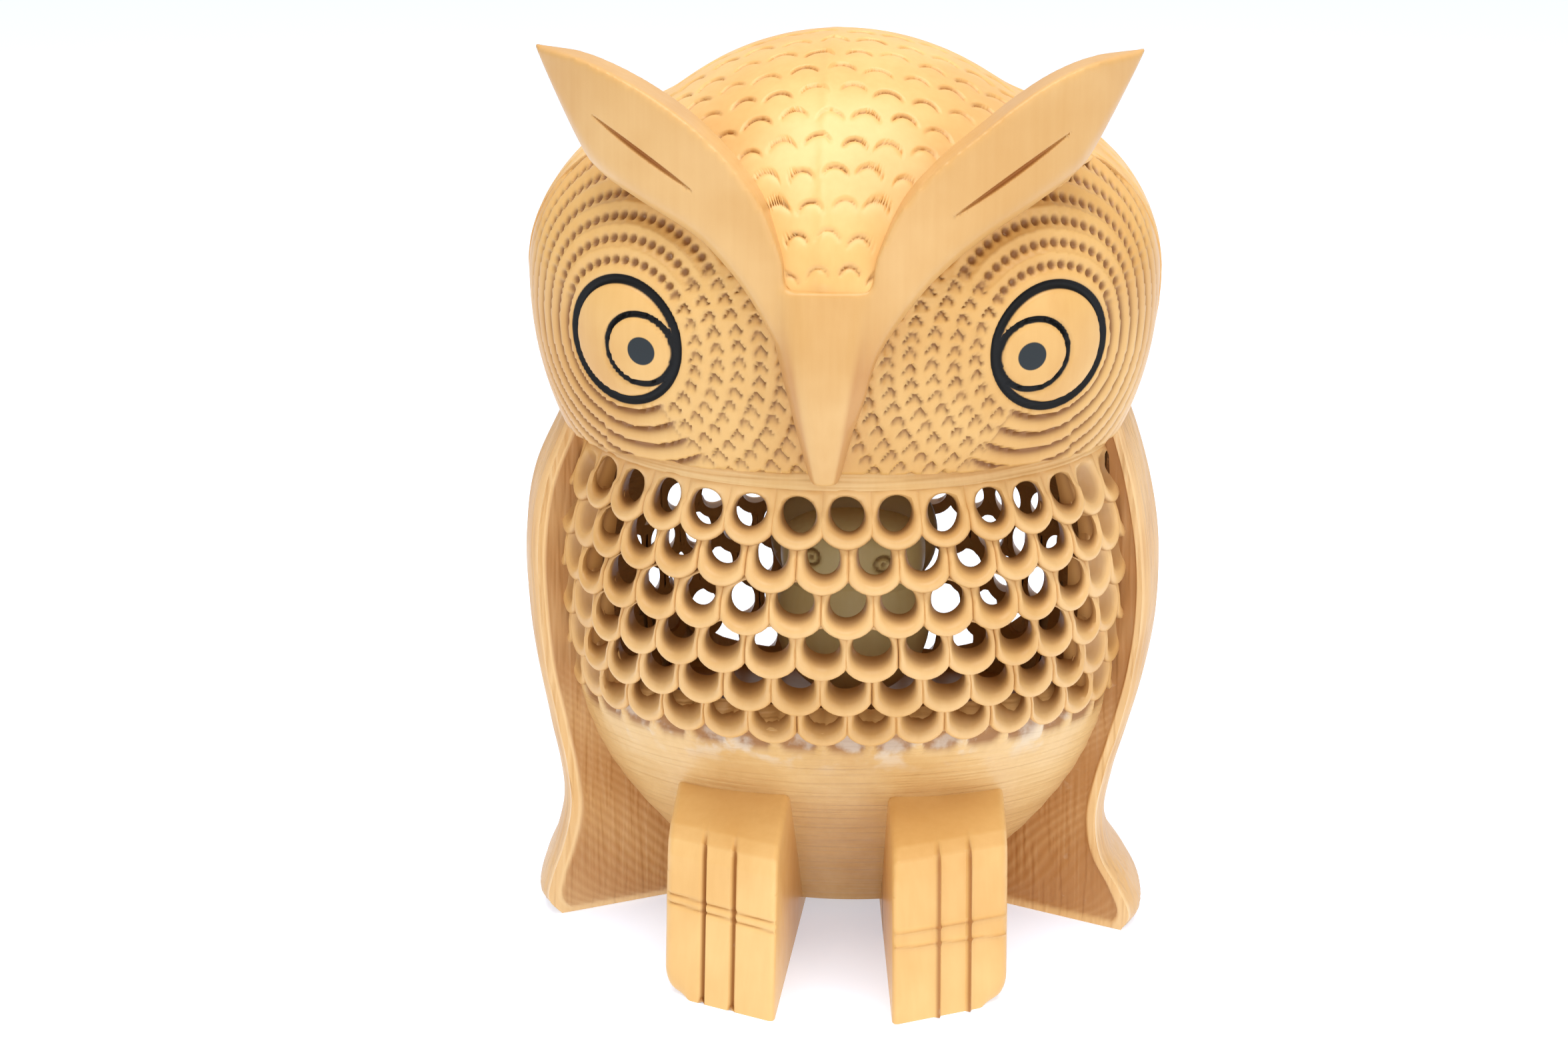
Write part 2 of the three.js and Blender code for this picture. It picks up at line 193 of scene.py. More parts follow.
floor_material, floor_look = new_material("white studio floor")
floor_look["Base Color"].default_value = light_value("E6EDFA")
floor_look["Roughness"].default_value = 0.6
floor_look["Emission Color"].default_value = light_value("DCEAFF")
floor_look["Emission Strength"].default_value = 0.46
floor.data.materials.append(floor_material)

# %% [markdown]
# ## The belly
#
# A belly like a full jug: narrow at the feet, widest at two fifths of the owl's height. Its table gives
# half-width, front depth and back depth by height. The skin is cut away where the pierced net goes,
# and then gets the thickness of the wall.

# %% Belly form
BELLY = [
    # height, half-width, front depth, back depth
    (0, 15, 6, 20), (5, 21, 9, 24), (13, 29.5, 14.5, 28), (21, 36.3, 20.5, 31), (29, 41.5, 26.5, 34),
    (37, 44.8, 32, 37.5), (45, 46.6, 37.5, 40.5), (54, 47.5, 42.5, 42.5), (63, 47.8, 45, 43.5),
    (72, 47.6, 44.6, 43), (80, 46.2, 42.4, 41.5), (88, 43.8, 40.7, 39.5), (95, 41, 37.5, 37),
]
BELLY_FOOT_Z = 2.4
BELLY_TOP_Z = 94.0
WALL = 4.2

belly_half_width = smooth_curve(BELLY, 1)
belly_front = smooth_curve(BELLY, 2)
belly_back = smooth_curve(BELLY, 3)
print("the belly's widest half in millimetres:", max(row[1] for row in BELLY))


def belly_place(degrees, z):
    """A point of the belly's surface; 0 degrees is the front, 90 the side at +X."""
    angle = np.radians(degrees)
    reach = np.where(np.cos(angle) > 0, belly_front(z), belly_back(z))
    x = belly_half_width(z) * np.sin(angle)
    return np.stack([x, AXIS_Y - reach * np.cos(angle), z], axis=-1)


def belly_normal(degrees, z):
    """The direction straight out of the belly's surface."""
    around = belly_place(degrees + 0.1, z) - belly_place(degrees - 0.1, z)
    up = belly_place(degrees, z + 0.1) - belly_place(degrees, z - 0.1)
    normal = np.cross(around, up)
    return normal / np.linalg.norm(normal, axis=-1, keepdims=True)


# %% [markdown]
# ## A sheet of wood that takes a shape and a relief
#
# Most of the owl is a smooth form with a low carving on it. A flat grid is made with one operator,
# every vertex is moved onto the smooth form, and then in or out along the form's own normal by the
# carving's depth. The depth of each cut is kept on the vertices, so that shade can be painted into
# the cuts, where the wood is coloured darker.

# %% Helpers that make and shape a sheet
SLOPE_STEP = 2e-4
BELLY_REACH = 44  # a middling distance from the axis to the skin
HOLLOW_WALL = (1.0, 3.6)
HOLLOW_Z = (29, 86.6)


def carve_sheet(columns, rows, form, relief=None, capped=False):
    """A grid moved onto form(u, v), then along its normal by relief(place, u, v), in millimetres.

    Its seam is merged, and a capped sheet gets its open ends filled.
    """
    bm = bmesh.new()
    bmesh.ops.create_grid(bm, x_segments=columns, y_segments=rows, size=0.5)
    flat = np.array([vert.co for vert in bm.verts])
    u = flat[:, 0] + 0.5
    v = flat[:, 1] + 0.5
    place = form(u, v)
    cut = np.zeros(len(place))
    if relief is not None:
        along_u = form(u + SLOPE_STEP, v) - form(u - SLOPE_STEP, v)
        along_v = form(u, v + SLOPE_STEP) - form(u, v - SLOPE_STEP)
        normal = np.cross(along_u, along_v)
        length = np.linalg.norm(normal, axis=1, keepdims=True)
        normal = normal / np.maximum(length, 1e-12)
        height = relief(place, u, v)
        place = place + normal * height[:, None]
        # The depth of cut is also the mask for painted shade: the wood is coloured darker in the cuts.
        cut = np.clip(-height, 0, None)
    layer = bm.verts.layers.float.new("cut")
    place[:, 2] = np.maximum(place[:, 2], 0)
    for vert, co, depth in zip(bm.verts, place, cut):
        vert.co = co
        vert[layer] = depth
    bmesh.ops.remove_doubles(bm, verts=bm.verts, dist=1e-4)
    if capped:
        rim = [edge for edge in bm.edges if edge.is_boundary]
        bmesh.ops.holes_fill(bm, edges=rim, sides=0)
    return bm


def mark_hollow_shade(mesh):
    """Keeps on each vertex how far it lies inside the belly, 0 at the outside and 1 in the hollow; this is
    the mask for the painted shade in the hollow.
    """
    co = np.zeros(len(mesh.vertices) * 3)
    mesh.vertices.foreach_get("co", co)
    x, y, z = co.reshape(-1, 3).T / MM
    y = y - DEPTH_SHIFT - AXIS_Y
    reach = np.where(y < 0, belly_front(z), belly_back(z))
    share = np.hypot(x / belly_half_width(z), y / reach)
    depth = (1 - share) * BELLY_REACH
    hollow = step_up(depth, *HOLLOW_WALL) * (z > HOLLOW_Z[0]) * (z < HOLLOW_Z[1])
    mesh.attributes.new("hollow", "FLOAT", "POINT").data.foreach_set("value", hollow)


def add_sheet(target, sheet):
    """Puts one sheet's faces into another."""
    mesh = as_mesh(sheet, "joined sheet")
    target.from_mesh(mesh)
    bpy.data.meshes.remove(mesh)


def count_triangles(mesh):
    return sum(len(face.vertices) - 2 for face in mesh.polygons)


pieces = []


def finish_piece(bm, name, look, outward=True, sharp_degrees=50):
    """Turns a bmesh in millimetres into an object in metres, at its place in the frame."""
    bmesh.ops.translate(bm, verts=bm.verts, vec=(0, DEPTH_SHIFT, 0))
    bmesh.ops.scale(bm, verts=bm.verts, vec=(MM, MM, MM))
    if outward:
        bmesh.ops.recalc_face_normals(bm, faces=bm.faces)
    mesh = as_mesh(bm, name)
    mark_hollow_shade(mesh)
    mesh.shade_smooth()
    mesh.set_sharp_from_angle(angle=math.radians(sharp_degrees))
    pieces.append((link_object(name, mesh), look))
    print(name, "-", len(mesh.vertices), "vertices,", count_triangles(mesh), "triangles")


# %% [markdown]
# ## The pierced net
#
# Each hole is drilled and then rounded with a gouge into a thick U-shaped lip, so the rows overlap
# like roof tiles. One lip is a short section turned round the hole with the spin operator. It is then
# pressed into the outline of its cell, leaned out at its lower edge, and bent round the belly.

# %% Sizes of the net
CELL_DEGREES = 9.5
NET_TURN = 1.9
FRONT_ROWS = [82.5, 75.9, 69.0, 61.9, 55.1, 48.7]
BACK_ROWS = [63.0, 56.2, 49.4, 42.8, 36.5]
PIERCED = list(range(-6, 6))
BLIND_FRONT = [-8, -7, 6, 7]
BLIND_BACK = [-7, 6]
BACK_HOLE_SHARE = 1.1
HALF_CELL = 3.95
HOLE_RADIUS = 2.85
LIP_REACH = 5.15
ROW_PITCH = 6.8
LIP_STEPS = 32
HOLE_STRETCH = 0.16  # upwards, in every row but the top one
LIP_CLEAR = 4.1  # how far a lip's upper edge keeps from the middles of the holes above it
LIP_LEAN = 0.17
TONGUE_REACH = 6.4
TOP_LIP_RISE = 4.5
OVERLAP = 0.26
TOP_OVERLAP = 0.5
NET_DEPTH = 3.4
HOLE_SHEAR = 0.95
HOLE_DROP = 0.12
VIEW_LIMIT = 62  # holes farther round than this are all drilled at the same slant
BLIND_RISE = 0.4
SPOON_BY_ROW = [0.0, 0.04, 0.1, 0.18, 0.28, 0.4]
LIP_SECTION = [
    # share of the way from hole to outline, height over the belly
    (0.0, -NET_DEPTH), (0.0, -2.7), (0.0, -1.9), (0.02, -1.2), (0.1, -0.35), (0.25, 0.3),
    (0.44, 0.68), (0.64, 0.72), (0.82, 0.4), (0.94, -0.15), (1.0, -0.9), (1.0, -2.4), (1.0, -NET_DEPTH),
]
SCOOP_SECTION = [(0.0, -1.75), (0.3, -1.65), (0.6, -1.3), (0.85, -0.7)]


def spun_lip(section, closed_middle=None):
    """A section (radius share, height) spun round the hole; radius 1 is the hole, 2 the outline."""
    bm = bmesh.new()
    profile = [(1 + share, height) for share, height in section]
    if closed_middle:
        profile = closed_middle + profile[4:] + [(0.0, -NET_DEPTH)]
    verts = [bm.verts.new((radius, 0, height)) for radius, height in profile]
    edges = [bm.edges.new(pair) for pair in zip(verts, verts[1:])]
    if not closed_middle:
        edges.append(bm.edges.new((verts[-1], verts[0])))
    turn = {"cent": (0, 0, 0), "axis": (0, 0, 1), "angle": math.tau}
    bmesh.ops.spin(bm, geom=verts + edges, steps=LIP_STEPS, use_merge=True, **turn)
    bmesh.ops.remove_doubles(bm, verts=bm.verts, dist=1e-5)
    bmesh.ops.recalc_face_normals(bm, faces=bm.faces)
    return as_mesh(bm, "lip pattern")


lip_pattern = spun_lip(LIP_SECTION)
scoop_pattern = spun_lip(LIP_SECTION, SCOOP_SECTION)
print("one lip has", len(lip_pattern.polygons), "faces; one blind scoop", len(scoop_pattern.polygons))


# %% Outline of a cell
def cell_outline(angle, top_row):
    """How far a cell reaches from its hole in each direction: a U below, a tongue between lips above."""
    across = np.cos(angle)
    up = np.sin(angle)
    side = (HALF_CELL + (TOP_OVERLAP if top_row else OVERLAP)) / np.maximum(np.abs(across), 1e-6)
    below = np.minimum(side, LIP_REACH)
    toward = np.abs(across) * HALF_CELL + up * ROW_PITCH
    root = toward**2 - (HALF_CELL**2 + ROW_PITCH**2) + LIP_CLEAR**2
    arc = np.where(root > 0, toward - np.sqrt(np.maximum(root, 0)), 99)
    above = np.minimum(np.minimum(side, TONGUE_REACH), arc)
    if top_row:
        above = np.minimum(side, TOP_LIP_RISE / np.maximum(up, 0.2))
    return np.where(up > 0, above, below)


# %% Press a lip into its cell
def press_lip(pattern, cell, row, turn, degrees, z, spoon, shear):
    """The pattern pressed into one cell and bent round the belly, as places and depths of cut."""
    co = np.zeros(len(pattern.vertices) * 3)
    pattern.vertices.foreach_get("co", co)
    x, y, height = co.reshape(-1, 3).T
    share = np.hypot(x, y)
    angle = np.arctan2(y, x)
    up = unit(np.sin(angle))
    down = unit(-np.sin(angle))
    wobble = cell["wobble"]
    hole = HOLE_RADIUS * cell["size"] * (1 + wobble[0] * np.cos(angle + wobble[1]))
    hole = hole * (1 + 0.05 * np.cos(2 * angle + wobble[2])) * (1 + (HOLE_STRETCH if row else 0.0) * up)
    outline = cell_outline(angle, row == 0)
    inside = unit(share)
    outside = unit(share - 1)
    radius = inside * hole + outside * np.maximum(outline - hole, 0.25)
    sunk = np.clip(-height, 0, NET_DEPTH)
    in_wall = (outside < 0.05) & (share > 0.95)
    radius = np.where(in_wall, radius * (1 - spoon * down * unit(sunk / 2.4) * 1.25), radius)
    across = radius * np.cos(angle)
    along = radius * np.sin(angle)
    bottom = height < -NET_DEPTH + 0.5
    crest = np.clip(height + 0.6, 0, None) * np.where(row == 0, 0.92, 0.75) * up
    raised = height - crest - (0.25 if row else 0.1) * up * outside
    if row == 0:
        flat = np.minimum(height, 0.15 - 0.4 * step_up(outside, 0.55, 0.85))
        raised = raised + (flat - raised) * np.sqrt(up)
    raised = np.where(bottom, height, raised - LIP_LEAN * along * (1 - up * (row == 0)))
    mm_per_degree = HALF_CELL * 2 / CELL_DEGREES
    view = np.radians(np.clip(degrees - turn, -VIEW_LIMIT, VIEW_LIMIT))
    across = across + sunk * np.tan(view) * shear
    facing = belly_normal(np.array([degrees]), np.array([z]))[0]
    along = along + sunk * (facing[2] / np.hypot(facing[0], facing[1]) - HOLE_DROP) * shear
    place_degrees = degrees + across / mm_per_degree
    place_z = z + along
    if shear == 0:
        raised = np.minimum(raised, raised * BLIND_RISE)
    place = belly_place(place_degrees, place_z) + belly_normal(place_degrees, place_z) * raised[:, None]
    # Painted shade: the holes and the valleys between the lips are kept as cut, so that they are coloured
    # darker.
    valley_shade = 0.5 * unit((outside - 0.86) / 0.14) * (height > -1)
    cut = np.clip(0.2 - height, 0, 1.0) * (outside < 0.5) * 0.45 + valley_shade
    return place, cut


# %% Build the two nets
def build_net(name, rows, turn, blind, spoons, hole_share):
    net = bmesh.new()
    layer = net.verts.layers.float.new("cut")
    for row, z in enumerate(rows):
        for i in PIERCED + blind:
            pattern = scoop_pattern if i in blind else lip_pattern
            cell = {
                "size": hole_share * (1 + rng.uniform(-0.06, 0.05)),
                "wobble": (rng.uniform(0, 0.07), rng.uniform(0, 6.3), rng.uniform(0, 6.3)),
            }
            degrees = turn + NET_TURN + CELL_DEGREES * (i + (row % 2) / 2) + rng.uniform(-0.25, 0.25)
            row_z = z + rng.uniform(-0.2, 0.2)
            shear = 0.0 if i in blind else HOLE_SHEAR
            place, cut = press_lip(pattern, cell, row, turn, degrees, row_z, spoons[row], shear)
            start = len(net.verts)
            net.from_mesh(pattern)
            net.verts.ensure_lookup_table()
            for j, (co, depth) in enumerate(zip(place, cut)):
                net.verts[start + j].co = co
                net.verts[start + j][layer] = depth
    finish_piece(net, name, "belly", outward=False)


build_net("belly_net_front", FRONT_ROWS, 0, BLIND_FRONT, SPOON_BY_ROW, 1.0)
build_net("belly_net_back", BACK_ROWS, 180, BLIND_BACK, [0.0] * len(BACK_ROWS), BACK_HOLE_SHARE)


# %% Belly skin round the net
NET_FRONT_TOP = FRONT_ROWS[0] + 3.6
NET_FRONT_FOOT = FRONT_ROWS[-1] - 3.0
BACK_TOP = BACK_ROWS[0] + 3.4
BACK_FOOT = BACK_ROWS[-1] - 3.2
FRONT_SIDES = (-79, 77)
BACK_SIDE = 63
SCOOP_Z = 43.4
SCOOP_SIZE = 2.2  # in height and in depth
SCOOP_FADE = (62, 74)


def between(start, end, share):
    """The value a share of the way from start to end."""
    return start + (end - start) * share


def hump(value, middle, width, sharpness=2):
    """1 at the middle, and falling off evenly to both sides."""
    return np.exp(-(((value - middle) / width) ** sharpness))


def belly_skin_form(u, v):
    degrees = 360 * u
    z = between(BELLY_FOOT_Z, BELLY_TOP_Z, v)
    return belly_place(degrees, z)


def scoops_below_net(place, u, v):
    """The seventh row: shallow scoops cut under the last lips, which fade into the plain belly."""
    degrees = (360 * u + 180) % 360 - 180
    z = place[:, 2]
    index = np.round((degrees - NET_TURN) / CELL_DEGREES)
    across = (degrees - NET_TURN - index * CELL_DEGREES) * HALF_CELL * 2 / CELL_DEGREES
    down = SCOOP_Z - z
    bowl = (1 - step_up(np.abs(across), 1.9, 3.5)) * hump(down, 0, SCOOP_SIZE) * step_up(down, -1.6, 0.2)
    fan = step_up(np.abs(degrees), *SCOOP_FADE)
    tool = 0.05 * np.sin(z * 5.2 + 0.8 * np.sin(degrees * 0.35)) * step_up(z, 8, 14)
    strokes = 0.06 * np.sin(place[:, 0] * 4.1 + z * 1.3) * step_up(z, 30, 36) * (1 - step_up(z, 38, 44))
    front = np.abs(degrees) < 90
    return np.where(front, -SCOOP_SIZE * bowl * (1 - fan) + tool + strokes, 0.0)


def belly_skin():
    bm = carve_sheet(300, 96, belly_skin_form, scoops_below_net)
    doomed = []
    for face in bm.faces:
        x, y, z = face.calc_center_median()
        degrees = math.degrees(math.atan2(x, AXIS_Y - y))
        in_front = FRONT_SIDES[0] < degrees < FRONT_SIDES[1] and NET_FRONT_FOOT < z < NET_FRONT_TOP
        behind = 180 - abs(degrees) < BACK_SIDE and BACK_FOOT < z < BACK_TOP
        if in_front or behind:
            doomed.append(face)
    bmesh.ops.delete(bm, geom=doomed, context="FACES")
    bmesh.ops.recalc_face_normals(bm, faces=bm.faces)
    bmesh.ops.solidify(bm, geom=bm.faces[:], thickness=WALL)
    finish_piece(bm, "belly_skin", "skin")


belly_skin()

# %% [markdown]
# ## The hollow's floor and the plain underside
#
# The hollow doesn't reach the feet. Under it the block is whole, so one plug closes the bottom of the
# belly, with a floor that falls towards the back as the gouge left it.

# %% Floor plug
FLOOR_FRONT_Z = 44.0
FLOOR_BACK_Z = 31.0
BELLY_INSET = 3.0
PLUG_LIFT = 0.4
PLUG_WALL = 0.6  # the share of the sheet that runs up the side; the rest is the floor


def plug_form(u, v):
    degrees = 360 * u
    side = unit(v / PLUG_WALL)
    share = np.where(v < PLUG_WALL, 1.0, 1 - (v - PLUG_WALL) / 0.4)
    tilt = (1 - np.cos(np.radians(degrees))) / 2
    top = between(FLOOR_FRONT_Z, FLOOR_BACK_Z, tilt)
    edge = belly_place(degrees, BELLY_FOOT_Z + PLUG_LIFT + (top - BELLY_FOOT_Z - PLUG_LIFT) * side)
    middle = np.array([[0, AXIS_Y, (FLOOR_FRONT_Z + FLOOR_BACK_Z) / 2 - 1]])
    inset = 1 - BELLY_INSET / 45
    edge[:, :2] = (edge[:, :2] - [0, AXIS_Y]) * inset + [0, AXIS_Y]
    return edge * share[:, None] + middle * (1 - share[:, None])


finish_piece(carve_sheet(120, 40, plug_form, capped=True), "belly_floor", "belly")

# %% [markdown]
# ## The owlet inside
#
# It was carved through the holes, so it is simple: a plump body, a round head and two thin rings for
# eyes. Behind its head a lump of the block was left, where the tool could not reach.

# %% Owlet
OWLET_X = 1.4
OWLET_Y = 3.0
OWLET_BODY = {"z": 53, "wide": 13, "deep": 10, "up": 16, "down": 14}
OWLET_HEAD = {"z": 65, "wide": 12, "deep": 9.5, "up": 7.2, "down": 10}
OWLET_BACK = {"z": 66, "wide": 14, "deep": 6.5, "up": 11.5, "down": 11, "behind": 5}
OWLET_EYES = [(-6.8, 66.0), (5.3, 65.0)]


def squared(across, deep, exponent):
    """How far a squared circle of this exponent reaches in a direction, where a circle reaches 1."""
    return (np.abs(across) ** exponent + np.abs(deep) ** exponent) ** (-1 / exponent)


def owlet_ball(sizes, exponent, u, v):
    turn = 2 * np.pi * u
    rise = np.pi * (v - 0.5)
    across, deep = np.sin(turn), -np.cos(turn)
    plan = squared(across, deep, exponent)
    side, high = np.abs(np.cos(rise)), np.sin(rise)
    lift = squared(side, high, exponent)
    x = OWLET_X + sizes["wide"] * plan * across * side * lift
    y = OWLET_Y + sizes.get("behind", 0) + sizes["deep"] * plan * deep * side * lift
    z = sizes["z"] + np.where(high > 0, sizes["up"], sizes["down"]) * high * lift
    return np.stack([x, y, z], axis=-1)


def owlet_face(place, u, v):
    height = np.zeros(len(place))
    front = place[:, 1] < OWLET_Y
    for eye_x, eye_z in OWLET_EYES:
        r = np.hypot(place[:, 0] - OWLET_X - eye_x, place[:, 2] - eye_z)
        height -= np.where(front, 0.9 * hump(r, 1.35, 0.32), 0)
        height -= np.where(front, 0.7 * hump(r, 0, 0.5, 4), 0)
    return height


def make_owlet():
    torso = carve_sheet(64, 40, partial(owlet_ball, OWLET_BODY, 2.0))
    head = carve_sheet(160, 96, partial(owlet_ball, OWLET_HEAD, 2.4), owlet_face)
    back = carve_sheet(48, 32, partial(owlet_ball, OWLET_BACK, 2.2))
    # Painted shade: the lump behind the head is marked as the deepest cut, so that it is coloured dark
    # brown.
    rough = back.verts.layers.float["cut"]
    for vert in back.verts:
        vert[rough] = 1.0
    add_sheet(torso, head)
    add_sheet(torso, back)
    finish_piece(torso, "owlet", "inside")


make_owlet()

# %% [markdown]
# ## The head
#
# A ball that is squarer than round, cut flat below. Each eye sits in a disc of fine terraces. Towards
# the beak the terraces break up into little gouge notches, and under the brow into punched dots.
# All of it is worked out in each eye's own polar measure: distance from the eye, and direction.

# %% Head form
HEAD_Z = 113.0
HEAD = {"wide": 50.5, "front": 45.0, "back": 41.0, "up": 31.2, "down": 52.0}
FACE_SHIFT = -0.4
FRONT_COLUMNS = 0.84
FRONT_TURN = math.radians(83)
HEAD_TURNS = [(-1, -np.pi), (-FRONT_COLUMNS, -FRONT_TURN), (FRONT_COLUMNS, FRONT_TURN), (1, np.pi)]
HEAD_PLAN_POWER = 2.6
HEAD_SIDE_POWER = 2.1
HEAD_CUT_RISE = -27.6
HEAD_EDGE = 0.05


def from_table(table, x):
    """A table of pairs read at x, straight between its rows."""
    return np.interp(x, [row[0] for row in table], [row[1] for row in table])


def head_form(u, v):
    """u goes round from the back with most columns in front; v goes from the flat foot to the top."""
    w = 2 * u - 1
    turn = from_table(HEAD_TURNS, w)
    across, deep = np.sin(turn), -np.cos(turn)
    plan = squared(across, deep, HEAD_PLAN_POWER)
    share = unit(v / HEAD_EDGE)
    t = unit((v - HEAD_EDGE) / (1 - HEAD_EDGE))
    rise = np.radians(between(HEAD_CUT_RISE, 90, t))
    side, high = np.cos(rise), np.sin(rise)
    lift = squared(side, high, HEAD_SIDE_POWER)
    wide = side * lift * share
    x = FACE_SHIFT + HEAD["wide"] * plan * across * wide
    y = AXIS_Y + np.where(deep < 0, HEAD["front"], HEAD["back"]) * plan * deep * wide
    z = HEAD_Z + np.where(high > 0, HEAD["up"], HEAD["down"]) * high * lift
    return np.stack([x, y, z], axis=-1)


# %% Relief round the eyes
EYE_X = 31.1
EYE_Y = -29.0
EYE_Z = 108.7
EYE_YAW = math.radians(28)
RING = 9.45
IRIS = {"in": 3.35, "down": 0.8, "radius": 5.5}
PUPIL = {"in": 4.0, "down": 0.9, "radius": 2.2}
TERRACE_START = 11.0
TERRACE_FINE = 2.45
TERRACE_WIDE = 3.1
TERRACES = 7
NOTCH_PITCH = 2.45
DOT_PITCH = 1.8
# Directions from the eye in degrees, 0 outwards and 90 up, between which a carving fades in or out.
DOTS_IN = (18, 42)
NOTCHES_IN = (132, 144)
NOTCHES_OUT = (232, 246)


def eye_measure(place, side):
    """Distances across and up from an eye's middle, in the plane that the eye faces."""
    x, y, z = place.T
    across = (x - FACE_SHIFT - side * EYE_X) * side * math.cos(EYE_YAW)
    return across + (y - EYE_Y) * math.sin(EYE_YAW), z - EYE_Z


def eye_relief(place, side):
    across, up = eye_measure(place, side)
    r = np.hypot(across, up)
    turn = np.degrees(np.arctan2(up, across))
    turn = np.where(turn < -70, turn + 360, turn)
    ring = hump(r, RING, 0.7, 4)
    iris_r = np.hypot(across + IRIS["in"], up + IRIS["down"])
    iris = hump(iris_r, IRIS["radius"], 0.42, 4) * (r < RING)
    dome = 0.9 * unit(1 - (r / RING) ** 2)
    height = dome - 0.9 * np.maximum(ring, iris)

    widen = step_up(turn, 10, 60) * (1 - 0.6 * step_up(turn, 235, 290))
    step = between(TERRACE_FINE, TERRACE_WIDE, widen)
    row = (r - TERRACE_START) / step
    index = np.floor(row)
    share = row - index
    local_r = share * step
    in_rows = (row > 0) & (row < TERRACES)
    broken = step_up(turn, *NOTCHES_IN) * (1 - step_up(turn, *NOTCHES_OUT))
    under_brow = step_up(turn, *DOTS_IN) * (1 - step_up(turn, *NOTCHES_IN))
    plain = (1 - broken) * (1 - under_brow)
    ledge = -0.75 * (1 - share) ** 1.7 - 0.6 * hump(local_r, 0.4, 0.36)
    ledge = ledge * step_up(local_r, -0.2, 0.45)
    height = height + np.where(in_rows, ledge * plain, 0)

    arc_mm = np.radians(turn) * (TERRACE_START + (index + 0.4) * step)
    along = arc_mm / NOTCH_PITCH + 0.5 * (index % 2) + 0.15 * np.sin(index * 2.3)
    cell = (along - np.round(along)) * NOTCH_PITCH
    off_r = local_r - 0.45 * step
    level = off_r * np.cos(np.radians(turn)) - cell * np.sin(np.radians(turn))
    rise = off_r * np.sin(np.radians(turn)) + cell * np.cos(np.radians(turn))
    below_arch = 0.6 - rise - 0.95 * (np.abs(level) / 0.8) ** 1.6
    bite = step_up(below_arch, -0.2, 0.26) * np.exp(-np.clip(below_arch, 0, None) / 0.8)
    bite = bite * (np.abs(level) < 1.05) * (rise > -1.2)
    lit = 0.18 * hump(below_arch, -0.25, 0.25) * (np.abs(level) < 1.1)
    height = height + np.where(in_rows, (lit - 0.95 * bite) * broken, 0)

    dot_path = np.radians(turn) * (TERRACE_START + (index + 0.5) * step) / DOT_PITCH
    dot_cell = (dot_path - np.round(dot_path)) * DOT_PITCH
    dots = hump(np.hypot(dot_cell, off_r + 0.1), 0, 0.64, 3)
    ridge = 0.3 * hump(share, 0.97, 0.16) - 0.1 * hump(share, 0.45, 0.3)
    height = height + np.where(in_rows, (-0.85 * dots + ridge) * under_brow, 0)
    return height


def head_relief(place, u, v):
    height = np.zeros(len(place))
    for side in (-1, 1):
        mine = (place[:, 0] * side > 0) & (place[:, 1] < 4)
        height = np.where(mine, eye_relief(place, side), height)
    rim = step_up(place[:, 1], -6, 4)
    edge = step_up(v, HEAD_EDGE * 0.98, HEAD_EDGE * 1.02)
    return height * (1 - rim) * edge


finish_piece(carve_sheet(430, 210, head_form, head_relief), "head", "head", sharp_degrees=75)

# %% [markdown]
# ## The crown
#
# Between the brows and over the back of the head lies a dome of feathers: rows of short arcs, each one
# push of a curved gouge, set like fish scales round a faint middle ridge.

# %% Sizes of the crown
BEAK_X = -1.9
CROWN_Z = 107.0
CROWN = {"wide": 43.0, "front": 50.7, "back": 44.0, "up": 43.0}
CROWN_FOOT_HALF = 5.6
CROWN_BACK_Z = 98.5
CROWN_SHIFT = -1.2
CROWN_OVER = 1.005
CROWN_RADIUS = 47.0
CROWN_BLEND = 80
CROWN_MIDDLE = 12  # how far the tip of the hidden closing cone lies over CROWN_Z
CROWN_EDGE = 0.04
BROW_TOP = [
    (0, 118.9), (5.7, 118.9), (7.0, 124.0), (9.8, 130.5), (14.2, 136.2), (19.4, 140.8), (25.6, 145.2),
    (31.9, 148.4), (38.4, 150.3), (46.2, 150.8),
]
BROW_TOP_EDGE = [(0, 118.6), (5.7, 118.6)] + BROW_TOP[3:9]
BROW_REAR = [(0, -33.5), (14, -31), (27, -25), (38, -18.5), (46, -14.2), (60, -8)]
SCALE_WIDE = 6.5
SCALE_LONG = 5.7
SCALE_ROUND = 2.5


# %% Crown form
def head_share(x, y, z):
    """How far out a place lies on the head ball, 1 on its surface; y is measured from the axis."""
    deep = np.where(y < 0, HEAD["front"], HEAD["back"])
    wide = np.abs((x - FACE_SHIFT) / HEAD["wide"])
    plan = wide**HEAD_PLAN_POWER + np.abs(y / deep) ** HEAD_PLAN_POWER
    tall = np.abs((z - HEAD_Z) / np.where(z > HEAD_Z, HEAD["up"], HEAD["down"]))
    return (plan ** (HEAD_SIDE_POWER / HEAD_PLAN_POWER) + tall**HEAD_SIDE_POWER) ** (1 / HEAD_SIDE_POWER)


def crown_place(turn, rise):
    """The dome, swollen where the head ball would show through it."""
    x = CROWN["wide"] * np.cos(rise) * np.sin(turn) + CROWN_SHIFT * np.sin(rise)
    reach = np.where(np.cos(turn) > 0, CROWN["front"], CROWN["back"])
    y = -reach * np.cos(rise) * np.cos(turn)
    z = CROWN["up"] * np.sin(rise)
    to_head = np.ones(len(x))
    for _ in range(12):
        to_head = to_head / head_share(x * to_head, y * to_head, CROWN_Z + z * to_head)
    swell = (1 + (to_head * CROWN_OVER) ** CROWN_BLEND) ** (1 / CROWN_BLEND)
    return np.stack([x * swell, AXIS_Y + y * swell, CROWN_Z + z * swell], axis=-1)


